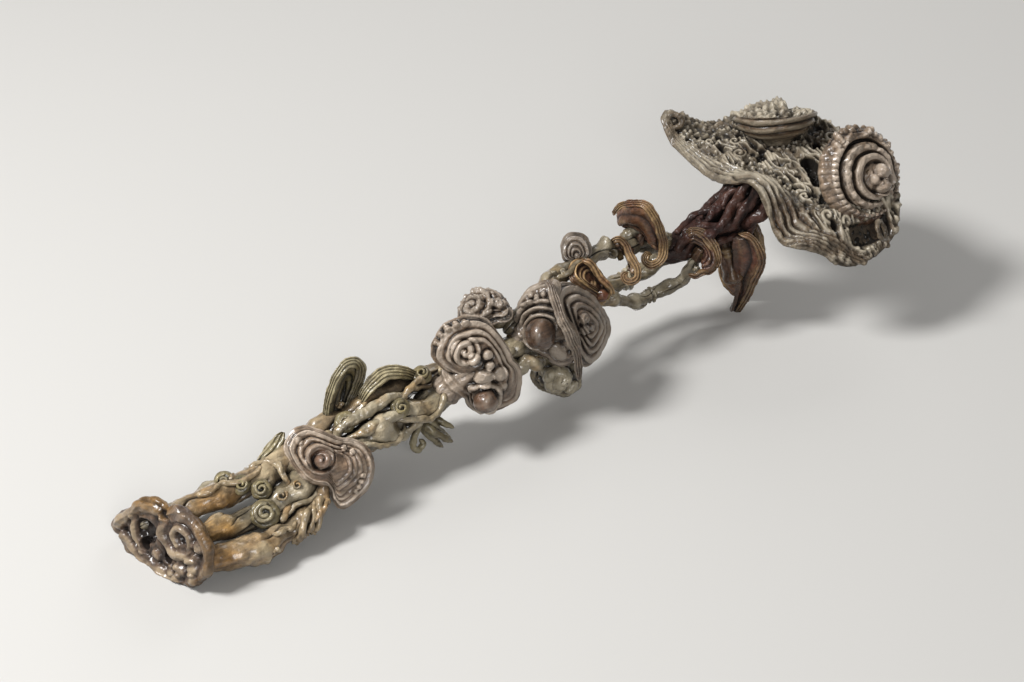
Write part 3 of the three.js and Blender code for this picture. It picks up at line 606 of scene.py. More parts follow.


# Each finish: name, colours deep (dirt, painted shade), second and high (wear, painted highlight), patches
# and fibres in mm, roughness and coat
FINISHES = {
    # Root with the skin left on: grey brown, glossy from handling
    "bamboo": ("Patinated bamboo root", "#120d09", "#7d7058", "#d8cbaf", 16, 1.3, 0.31, 1.0),
    # Root rubbed through on its high places, so ochre and gold glint in it
    "worn": ("Ochre worn bamboo root", "#140d08", "#84725a", "#dcc8a2", 12, 1.3, 0.31, 1.0),
    # The tail's face: mauve brown, rubbed to gold along its upper rim
    "tail": ("Rubbed mauve bamboo", "#160e0b", "#6c5848", "#c2ab8c", 9, 1.2, 0.36, 0.6),
    # Carved fungus face: mauve brown, with pale crests
    "cap": ("Mauve carved bamboo", "#1a120e", "#85715d", "#ccbba8", 18, 1.1, 0.34, 0.85),
    # Carved undersides: reddish brown, in shade
    "russet": ("Russet carved bamboo", "#100907", "#5f432f", "#c3a273", 14, 1.2, 0.36, 0.5),
    # The neck: dark reddish root under the head, painted nearly black as shade, and less polished
    "neck": ("Dark bamboo root in painted shade", "#0d0504", "#321c15", "#5e3c2f", 14, 1.2, 0.44, 0.2),
    # Leaves and curls: olive, yellowish on the edges
    "leaf": ("Olive carved bamboo", "#15110b", "#6f6650", "#c8bb95", 10, 1.1, 0.34, 0.7),
    # The head: a dry grey brown crust that scatters light
    "crust": ("Crusted grey brown bamboo", "#120e0a", "#7a6f5d", "#cdc1ab", 11, 1.0, 0.38, 0.5),
}


def material_of(slot):
    """The material of a slot, made when first asked for."""
    name, deep, second, high, patch, fibre, roughness, coat = FINISHES[slot]
    found = bpy.data.materials.get(name)
    if found:
        return found
    colours = bpy.context.scene.ruyi_colours
    body, tint = ((*getattr(colours, key), 1.0) for key in (slot, slot + "_tint"))
    return carved_bamboo(name, deep, body, second, tint, high, patch, fibre, roughness, coat)


PAPER_SEEN, PAPER_BOUNCING = "#d3d1cd", "#5c5a57"


def matt_paper():
    """Matt paper for the floor: pale to the eye and in gloss, and a mid grey to light that
    bounces, so that hollows stay as dark as on a cloth."""
    paper = bpy.data.materials.new("Pale matt paper")
    paper.use_nodes = True
    tree = paper.node_tree
    rays = add(tree, "ShaderNodeLightPath").outputs
    seen = rays["Is Camera Ray"]
    for kind in ("Is Glossy Ray", "Is Transmission Ray"):
        seen = add(tree, "ShaderNodeMath", {0: seen, 1: rays[kind]}, operation="MAXIMUM").outputs[0]
    colour = add(tree, "ShaderNodeMix", {0: seen, 6: linear(PAPER_BOUNCING), 7: linear(PAPER_SEEN)},
                 data_type="RGBA").outputs[2]
    shader = tree.nodes["Principled BSDF"]
    shader.inputs["Roughness"].default_value = 0.9
    tree.links.new(colour, shader.inputs["Base Color"])
    return paper


# Strands

# The tail plate's frame, and the seats of the strands in it: along and across
TAIL_FRAME = frame_on(at(-0.8, 0, 14.7), (-0.95, -0.22, 0.2), (0.22, -0.97, 0))
TAIL_SEATS = {
    "near_strand": (21, -2),
    "core_strand": (9, 2),
    "upper_strand": (-1, 9),
    "far_strand": (-16, -3),
}
SEAT_DEPTH = -0.3 * TAIL_THICKNESS
SEAT_SWELL = 0.95

# Knots of the strands: station, y, z, swell
STRANDS = {
    "near_strand": [
        (5, -22, 11.2, 1.15), (9, -22, 9.4, 1.35), (12.5, -22, 9, 1.25), (15, -21, 9.2, 0.95),
        (18, -20, 10.5, 1.15), (20.5, -19, 14, 0.85), (22, -17.5, 20, 0.7), (22.6, -16, 25, 0.7),
    ],
    "core_strand": [
        (5, -9, 16, 1.05), (10, -9, 14.5, 1.05), (16, -8, 15.5, 1.25), (22, -7, 18.5, 1.4),
        (29, -5, 24, 1.4), (36, -5, 27, 1.3), (42, -4, 28, 1.35), (48, -2, 30, 1.4), (55, 0, 33, 1.4),
        (61, 1, 35, 1.4), (67, 2, 37, 1.3), (73, 4, 39, 1.05), (78, 5, 37, 0.9),
    ],
    "upper_strand": [
        (5, 4, 21.5, 1.15), (10.5, 4, 20.5, 1.3), (16, 4, 20.5, 1.25), (22, 6, 22, 1.4), (28, 8, 27, 1.4),
        (33, 8, 31, 1.25), (38, 8, 33, 1.4), (44, 7, 33, 1.2), (49, 6, 36, 0.9),
    ],
    "far_strand": [
        (8, 16, 10, 1.15), (16, 15, 12, 1.05), (24, 14, 17, 1.15), (32, 15, 22, 1.1), (40, 14, 26, 1),
        (47, 11, 28, 0.85),
    ],
    "neck": [
        (89, 9, 43, 1), (94, 8, 46, 1.4), (98.5, 5, 50, 1.6), (101.5, 2, 55, 1.65), (103, 0, 60, 1.6),
        (104, -1, 64.5, 1.55), (105.4, -2, 71.5, 1.4),
    ],
    "upper_branch": [
        (58, 4, 42, 1), (64, 7, 48, 1.15), (70, 11, 53, 0.95), (75, 13, 56, 0.9), (80, 13, 56, 0.8),
        (85, 12, 52, 0.85), (91, 10, 49, 1),
    ],
    "lower_branch": [
        (74, 3, 39, 0.9), (78, 3, 36, 0.8), (84, 5, 27, 0.75), (88, 5, 27, 0.85), (91.3, 3, 30, 0.9),
        (92.3, 0, 37, 0.8), (92.8, -3, 46, 0.7),
    ],
    "far_branch": [
        (64, 8, 33, 0.9), (71, 14, 34, 0.85), (78, 18, 31, 0.8), (86, 18, 31, 0.9), (92, 13, 40, 0.95),
    ],
}
# How much slimmer than the solids the roots are carved, 0.8 where it isn't named, so that their
# knots stay inside
SLIMMING = {"neck": 1.0, "lower_branch": 0.62, "upper_branch": 0.74}
# Slots of the roots that aren't plain bamboo, and shades that some are multiplied by
STRAND_SLOTS = {"near_strand": "worn", "upper_strand": "worn", "neck": "russet"}
STRAND_SHADES = {"upper_branch": 0.72, "lower_branch": 0.82}


def strand_knots(name):
    """Places and radii of a strand's knots, the first one in the tail plate if it has a seat."""
    places = [at(*knot[:3]) for knot in STRANDS[name]]
    swells = [knot[3] for knot in STRANDS[name]]
    if name in TAIL_SEATS:
        places.insert(0, point(TAIL_FRAME, *TAIL_SEATS[name], SEAT_DEPTH))
        swells.insert(0, SEAT_SWELL)
    return np.array(places), np.array(swells) * STRAND_RADIUS * SLIMMING.get(name, 0.8)


def on_strand(name, knot):
    """The place on a strand, counted in knots from its start."""
    places, _ = strand_knots(name)
    return spline(places, [knot / (len(places) - 1)])[0]


# Knuckles on each strand: share along, angle round in degrees, spread and height in mm.
# Angle 0 is the far side, 90 the top, 180 the near side and 270 underneath.
KNUCKLES = {
    "near_strand": [
        (0.05, 120, 5, 1.2), (0.13, 150, 6, -1), (0.21, 145, 8, 2.4), (0.29, 110, 5, 1),
        (0.32, 190, 4.6, 2.6), (0.327, 195, 2.2, -4.5), (0.42, 130, 5, 1.6), (0.5, 170, 5, 1.6),
        (0.6, 120, 4, 1.5), (0.2, 300, 7, 2), (0.45, 0, 6, 2),
    ],
    "core_strand": [
        (0.11, 155, 8, 1.8), (0.16, 185, 6, 1.4), (0.228, 155, 8, 2.4), (0.275, 150, 9, 3.4),
        (0.2, 200, 5, 1.2), (0.33, 140, 7, 2), (0.38, 165, 6, 2), (0.423, 148, 6, 2.8),
        (0.435, 112, 5, 2.4), (0.451, 95, 6, 2.8), (0.447, 195, 5, 2.6), (0.491, 108, 7, 2.6),
        (0.513, 135, 6, 2.4), (0.47, 165, 4, -1.2), (0.54, 165, 6, 1.8), (0.6, 120, 7, 1.6),
        (0.67, 160, 6, 2), (0.75, 130, 6, 2), (0.83, 160, 6, 2.2), (0.9, 140, 5, 2), (0.3, 330, 8, 2.2),
        (0.55, 300, 8, 2.2), (0.75, 320, 8, 2),
    ],
    "upper_strand": [
        (0.148, 140, 6, 1.6), (0.19, 165, 7, 2.6), (0.25, 110, 5, 1), (0.275, 165, 6, 1.6),
        (0.34, 150, 8, 3.4), (0.41, 120, 6, 1.4), (0.47, 105, 7, 3), (0.555, 90, 7, 2.4),
        (0.577, 150, 5, 1.6), (0.645, 155, 6, 2.8), (0.685, 140, 7, 3.2), (0.72, 95, 5, 1.5),
        (0.745, 135, 5, 2), (0.8, 155, 6, 2.2), (0.88, 130, 5, 1.8), (0.4, 20, 8, 2), (0.7, 10, 8, 2),
    ],
    "far_strand": [
        (0.2, 80, 6, 1.8), (0.4, 30, 5, 1.8), (0.55, 60, 6, 2.2), (0.7, 20, 5, 2), (0.85, 70, 5, 1.6),
    ],
    "neck": [(0.2, 120, 6, 1.8), (0.45, 150, 6, 2), (0.7, 100, 6, 1.6), (0.5, 20, 7, 2)],
    "upper_branch": [
        (0.15, 120, 5, 2), (0.28, 80, 6, 2.6), (0.36, 90, 6, 2.4), (0.47, 100, 4, 1.4),
        (0.56, 140, 4, 1.4), (0.633, 80, 3.2, 2.8), (0.645, 185, 2.4, -3.6), (0.62, 150, 5, 2.2),
        (0.67, 200, 4, 2), (0.8, 120, 4, 1.6), (0.92, 90, 5, 2.4),
    ],
    "lower_branch": [
        (0.16, 145, 4, 1), (0.277, 190, 3, 2), (0.35, 125, 4, 1), (0.5, 165, 3.4, 1.8), (0.58, 125, 4, 1),
        (0.68, 140, 3, 1.4), (0.8, 110, 4, 1),
    ],
    "far_branch": [(0.25, 60, 4, 1.6), (0.5, 20, 4, 1.8), (0.75, 80, 4, 1.6)],
}
# Rings at the joints of the bamboo: share along
JOINTS = {"lower_branch": (0.42,), "far_branch": (0.4, 0.7), "far_strand": (0.35, 0.62)}
# Places rubbed to ochre: share along, angle, spread
OCHRE = {
    "near_strand": [(0.3, 170, 7), (0.12, 130, 8), (0.05, 160, 8)],
    "core_strand": [(0.1, 150, 11), (0.43, 110, 4), (0.451, 95, 5), (0.05, 150, 11), (0.075, 120, 9)],
    "upper_strand": [(0.13, 150, 8), (0.19, 170, 9), (0.685, 130, 6), (0.645, 165, 4)],
}
# How strongly each root's top is painted lighter as a highlight, 0.25 where it isn't named
TOP_HIGHLIGHT = {"lower_branch": 0.9, "upper_branch": 0.3, "neck": 0.1}
# Buds that stand on a strand: share along, angle, radius
BUDS = {
    "near_strand": [
        (0.5, 200, 2), (0.515, 185, 1.8), (0.495, 185, 1.7), (0.62, 208, 2), (0.635, 195, 1.8),
        (0.61, 195, 1.6), (0.57, 192, 1.8), (0.585, 180, 1.6), (0.33, 170, 2.4),
    ],
    "core_strand": [
        (0.3, 195, 2.4), (0.36, 120, 2.6), (0.62, 170, 3), (0.64, 140, 2.6), (0.66, 185, 2.8),
        (0.7, 165, 2.6), (0.72, 190, 2.4),
    ],
    "upper_strand": [(0.24, 95, 2.2), (0.5, 70, 2.6), (0.62, 85, 2.2), (0.95, 150, 3)],
    "upper_branch": [
        (0.2, 110, 2.4), (0.25, 130, 2), (0.3, 95, 2.2), (0.34, 125, 2), (0.88, 130, 2.8),
        (0.93, 150, 2.6), (0.96, 120, 2.6),
    ],
    "lower_branch": [(0.3, 200, 1.8), (0.9, 170, 1.8)],
    "neck": [
        (0.15, 110, 2.6), (0.25, 100, 3), (0.35, 70, 2.6), (0.5, 95, 2.6), (0.62, 70, 2.4),
        (0.3, 140, 2.4), (0.45, 130, 2.6), (0.58, 125, 2.4),
    ],
}
# Tendrils laid on a strand: radius, then share along and angle at each knot
TENDRILS = {
    "core_strand": [
        (1.3, [(0.17, 175), (0.2, 165), (0.225, 180), (0.25, 170), (0.28, 180), (0.31, 165)]),
        (1.2, [(0.34, 110), (0.37, 125), (0.4, 150), (0.42, 175), (0.45, 185), (0.48, 175)]),
        (1.4, [(0.46, 130), (0.5, 160), (0.53, 175), (0.56, 150), (0.58, 120)]),
        (1.6, [(0.58, 160), (0.62, 140), (0.66, 150), (0.7, 130), (0.73, 150)]),
    ],
    "upper_strand": [
        (1.2, [(0.12, 110), (0.16, 120), (0.2, 105), (0.25, 125), (0.3, 120), (0.34, 100)]),
        (1.3, [(0.77, 190), (0.79, 170), (0.82, 158), (0.86, 160), (0.9, 175), (0.93, 160)]),
        (1.1, [(0.42, 150), (0.46, 165), (0.5, 155), (0.54, 170), (0.58, 165)]),
    ],
    "near_strand": [
        (1.1, [(0.35, 110), (0.4, 125), (0.45, 120), (0.5, 135), (0.55, 110)]),
        (1.6, [(0.82, 120), (0.76, 140), (0.7, 160), (0.65, 185), (0.62, 205)]),
        (1.7, [(0.72, 95), (0.64, 120), (0.57, 145), (0.52, 172), (0.5, 198)]),
        (1.3, [(0.78, 100), (0.71, 125), (0.65, 150), (0.6, 172), (0.575, 190)]),
    ],
    "neck": [
        (2.2, [(0.05, 150), (0.2, 120), (0.4, 140), (0.6, 110), (0.85, 130)]),
        (1.8, [(0.1, 90), (0.25, 70), (0.45, 95), (0.65, 75), (0.9, 90)]),
        (1.8, [(0.1, 190), (0.3, 170), (0.5, 190), (0.7, 165), (0.9, 180)]),
    ],
    "upper_branch": [(1.2, [(0.3, 120), (0.36, 140), (0.42, 130), (0.48, 150)])],
}
# Stems that stand off a strand: radius and places
STEMS = {
    "core_strand": [
        (2.3, [
            (-94, -2, 29), (-90.8, -3, 34), (-85.5, -3.4, 36.4), (-78.9, -4, 37.6), (-72.3, -4.4, 39.6),
            (-65, -4, 40), (-58, -3, 36),
        ]),
        (2.2, [
            (-91, -4, 26), (-86, -7, 30.6), (-78.8, -8.6, 33.4), (-73.4, -9.4, 35), (-65, -9.4, 34),
            (-56.5, -8, 32),
        ]),
        (2.1, [
            (-84, -7, 21), (-78.1, -10.4, 24.4), (-70.3, -11.4, 25.2), (-64.9, -12, 25),
            (-60, -11.6, 27.4), (-53.2, -9, 27.4),
        ]),
        (1.3, [(-62, -6, 37.5), (-58, -4.4, 40), (-53, -3, 41.4), (-49, -1, 41), (-46, 0, 37)]),
        (2.6, [(-6, 9, 40), (-4.3, 11, 44), (0.3, 8.2, 44.6), (6.5, 2, 41), (12, 0, 36)]),
        (2.4, [(-4, 3, 30), (0.6, 2.6, 34), (4.7, 0.6, 34.6), (9.1, -3, 32.4), (13, -3, 31)]),
        (3.0, [(-8, -3, 30), (-2, -7.4, 29.4), (3.3, -8.6, 33), (6.3, -11.4, 30.6), (10, -8, 30)]),
    ],
    "upper_strand": [
        (1.5, [
            (-132, 5, 23), (-130.1, 5, 26.6), (-126, 4.6, 27.6), (-122.3, 1.7, 28), (-121.1, -3, 27.6),
            (-122.2, -7.4, 26), (-122.1, -10, 23),
        ]),
        (2.2, [(-118, 0, 22), (-112, -3, 27), (-106, -4, 29), (-100, -3, 31), (-94, 0, 32)]),
    ],
    "near_strand": [
        (1.5, [(-132, -20, 14), (-126, -16, 17), (-121, -15, 16.4), (-117, -17, 13)]),
        (1.3, [(-122, -24, 12), (-118, -26, 15), (-114, -25, 17.4), (-110, -22, 17)]),
    ],
    "upper_branch": [(2.8, [(72, 14.4, 55.4), (76, 14.2, 58), (79.4, 13.4, 59.6), (83.4, 11.7, 60)])],
    "neck": [
        (2.8, [(116, 0, 52), (122, -6, 58), (128, -8, 66), (133, -9, 77)]),
        (2.6, [(111, 9, 51), (119, 10, 58), (127, 9, 64), (134, 8, 71)]),
        (3.0, [(126, -6, 54), (131, -11, 60), (136, -13, 66), (141, -14, 73)]),
        (2.2, [(108, 4, 52), (114, 2, 59), (122, 4, 64), (132, 6, 71)]),
        (2.2, [(104, 2, 50), (109, -4, 55), (116, -5, 60), (124, -3, 66), (132, -3, 76)]),
    ],
}
# Snails on a strand: place, normal, radius, turns and sense
SNAILS = {
    "core_strand": [
        ((-127.5, -13.6, 22.4), (-0.3, -0.6, 0.75), 3.2, 1.3, -1),
        ((-119.6, -13.6, 24.4), (-0.3, -0.6, 0.75), 2.4, 1.3, 1),
    ],
}


def rod_sides(name, share):
    """Centre, far side and upper side of a strand at some shares along it, and its radius."""
    places, radii = strand_knots(name)
    share = np.asarray(share, float)
    step = 1e-3
    tangent = unit(spline(places, share + step) - spline(places, share - step))
    side = unit(np.array([0, 1, 0]) - tangent * tangent[:, 1:2])
    return spline(places, share), side, np.cross(tangent, side), blended(radii, share)


def on_surface(name, share, degrees, lift):
    """Places on a strand's surface, lift mm above it."""
    centre, side, rise, radius = rod_sides(name, share)
    angle = np.radians(degrees)[:, None]
    return centre + (radius + lift)[:, None] * (np.cos(angle) * side + np.sin(angle) * rise)


def bumps(spots, share, angle, length, radius):
    """Bells on a rod: at each spot, height times a bell of the distance over the surface."""
    total = np.zeros(np.broadcast_shapes(share.shape, angle.shape))
    for t0, degrees, spread, height in spots:
        turn = np.angle(np.exp(1j * (angle - math.radians(degrees))))
        total = total + height * bell(np.hypot((share - t0) * length, turn * radius), 0.8 * spread)
    return total


# Lumps that swell a root: height and size in mm, and step of the seed
STRAND_LUMPS = ((1.5, 11, 0), (1.2, 5.5, 1), (0.22, 2.8, 7))
TENDRIL_SINK = 2


def strand_skins(name, seed):
    """A root: a rod swelled by lumps of three sizes and by knuckles, with grooves where
    sin(2.5 angle + run / 22) is near 0, rings at its joints, ochre patches and a top painted lighter as a
    highlight.
    Its buds, tendrils, stems and snails come after it."""
    places, radii = strand_knots(name)
    length = distance_along(places)[-1]
    points, share, angle, run = rod_grid(places, np.stack([radii, radii], axis=-1), (0, 1, 0),
                                         rows=int(length / 0.5), cols=88, nose=STRAND_RADIUS)
    radius = blended(radii, share[:, 0])[:, None]
    knuckles = bumps(KNUCKLES[name], share, angle, length, radius)
    swell = layers(points, seed, STRAND_LUMPS)
    twist = 2.5 * angle + run / 22 + 2.0 * lumps(points, 13, seed + 2)
    grooves = -1.1 * bell(np.sin(twist), 0.17) * patched(points, 15, seed + 3, -0.3, 0.3)
    rings = 0
    for t0 in JOINTS.get(name, ()):
        step = (share - t0) * length
        rings = rings + 1.2 * bell(step - 1.0, 0.8) + 0.8 * bell(step + 1.2, 0.7) - 0.7 * bell(step, 0.5)
    wrinkle = 0.16 * lumps(points * (0.35, 1, 1), 1.7, seed + 4)
    fine = grooves + rings + wrinkle + 0.16 * knuckles + 0.35 * swell
    lift = swell + knuckles + grooves + rings + wrinkle
    ochre = bumps([(*spot, 1.0) for spot in OCHRE.get(name, ())], share, angle, length, radius)
    ochre = ochre * (0.6 + 0.5 * lumps(points, 6, seed + 5))
    ochre = ochre + 0.25 * patched(points, 15, seed + 6, 0.1, 0.6)
    # Painted highlight: the top of each root is made lighter through the wear channel
    rubbed = TOP_HIGHLIGHT.get(name, 0.25) * ramp(0.3, 1, np.sin(angle) + 0.4 * lumps(points, 8, seed + 8))
    wear_and_highlight = np.maximum(0.4 * ramp(1.0, 2.8, knuckles + swell), rubbed)
    skins = [carved(points, lift, fine, ochre, wear_and_highlight, depth=1.1)]
    for k, (t0, degrees, size) in enumerate(BUDS.get(name, ())):
        centre = on_surface(name, [t0], [degrees], np.array([0.5 * size]))[0]
        skins.append(ball(centre, 0.85 * size, tone=0.1, wear_and_highlight=0.4, rough=0.5 * size,
                          seed=seed + 20 + k, cols=24))
    for k, (size, line) in enumerate(TENDRILS.get(name, ())):
        shares, turns = np.array(line).T
        under = bumps(KNUCKLES[name], shares[:, None], np.radians(turns)[:, None], length,
                      1.2 * STRAND_RADIUS)
        lift = 0.9 + 0.5 * size + under[:, 0]
        path = on_surface(name, shares, turns, lift)
        path[[0, -1]] = on_surface(name, shares[[0, -1]], turns[[0, -1]], lift[[0, -1]] - TENDRIL_SINK)
        thin = round_rod(path, size, (0, 1, 0.2), rows=14 * len(path), cols=24, nose=2)
        knots = (0.3 + 0.4 * size) * lumps(thin, 1.2 + 1.6 * size, seed + 40 + k)
        skins.append(carved(thin, knots, knots + 0.15, tone=0.15, wear_and_highlight=0.45))
    for k, (size, line) in enumerate(STEMS.get(name, ())):
        stem = round_rod(line, size, (0.2, 1, 0.1), rows=19 * len(line), cols=30, nose=size)
        knots = layers(stem, seed, ((0.4 + 0.45 * size, 1.6 + 1.8 * size, 60 + k), (0.3, 1.8, 62)))
        tone = 0.55 * patched(stem, 7, seed + 61, -0.1, 0.4)
        skins.append(carved(stem, knots, 0.7 * knots + 0.1, tone, wear_and_highlight=0.45))
    for k, (hub, normal, size, turns, sense) in enumerate(SNAILS.get(name, ())):
        skins.append(coil_skin(frame_on(hub, normal, (1, 0, 0)), size, turns, sense, seed + 70 + k))
    return skins


# All the way round, in degrees
ROUND = (-200, 200)
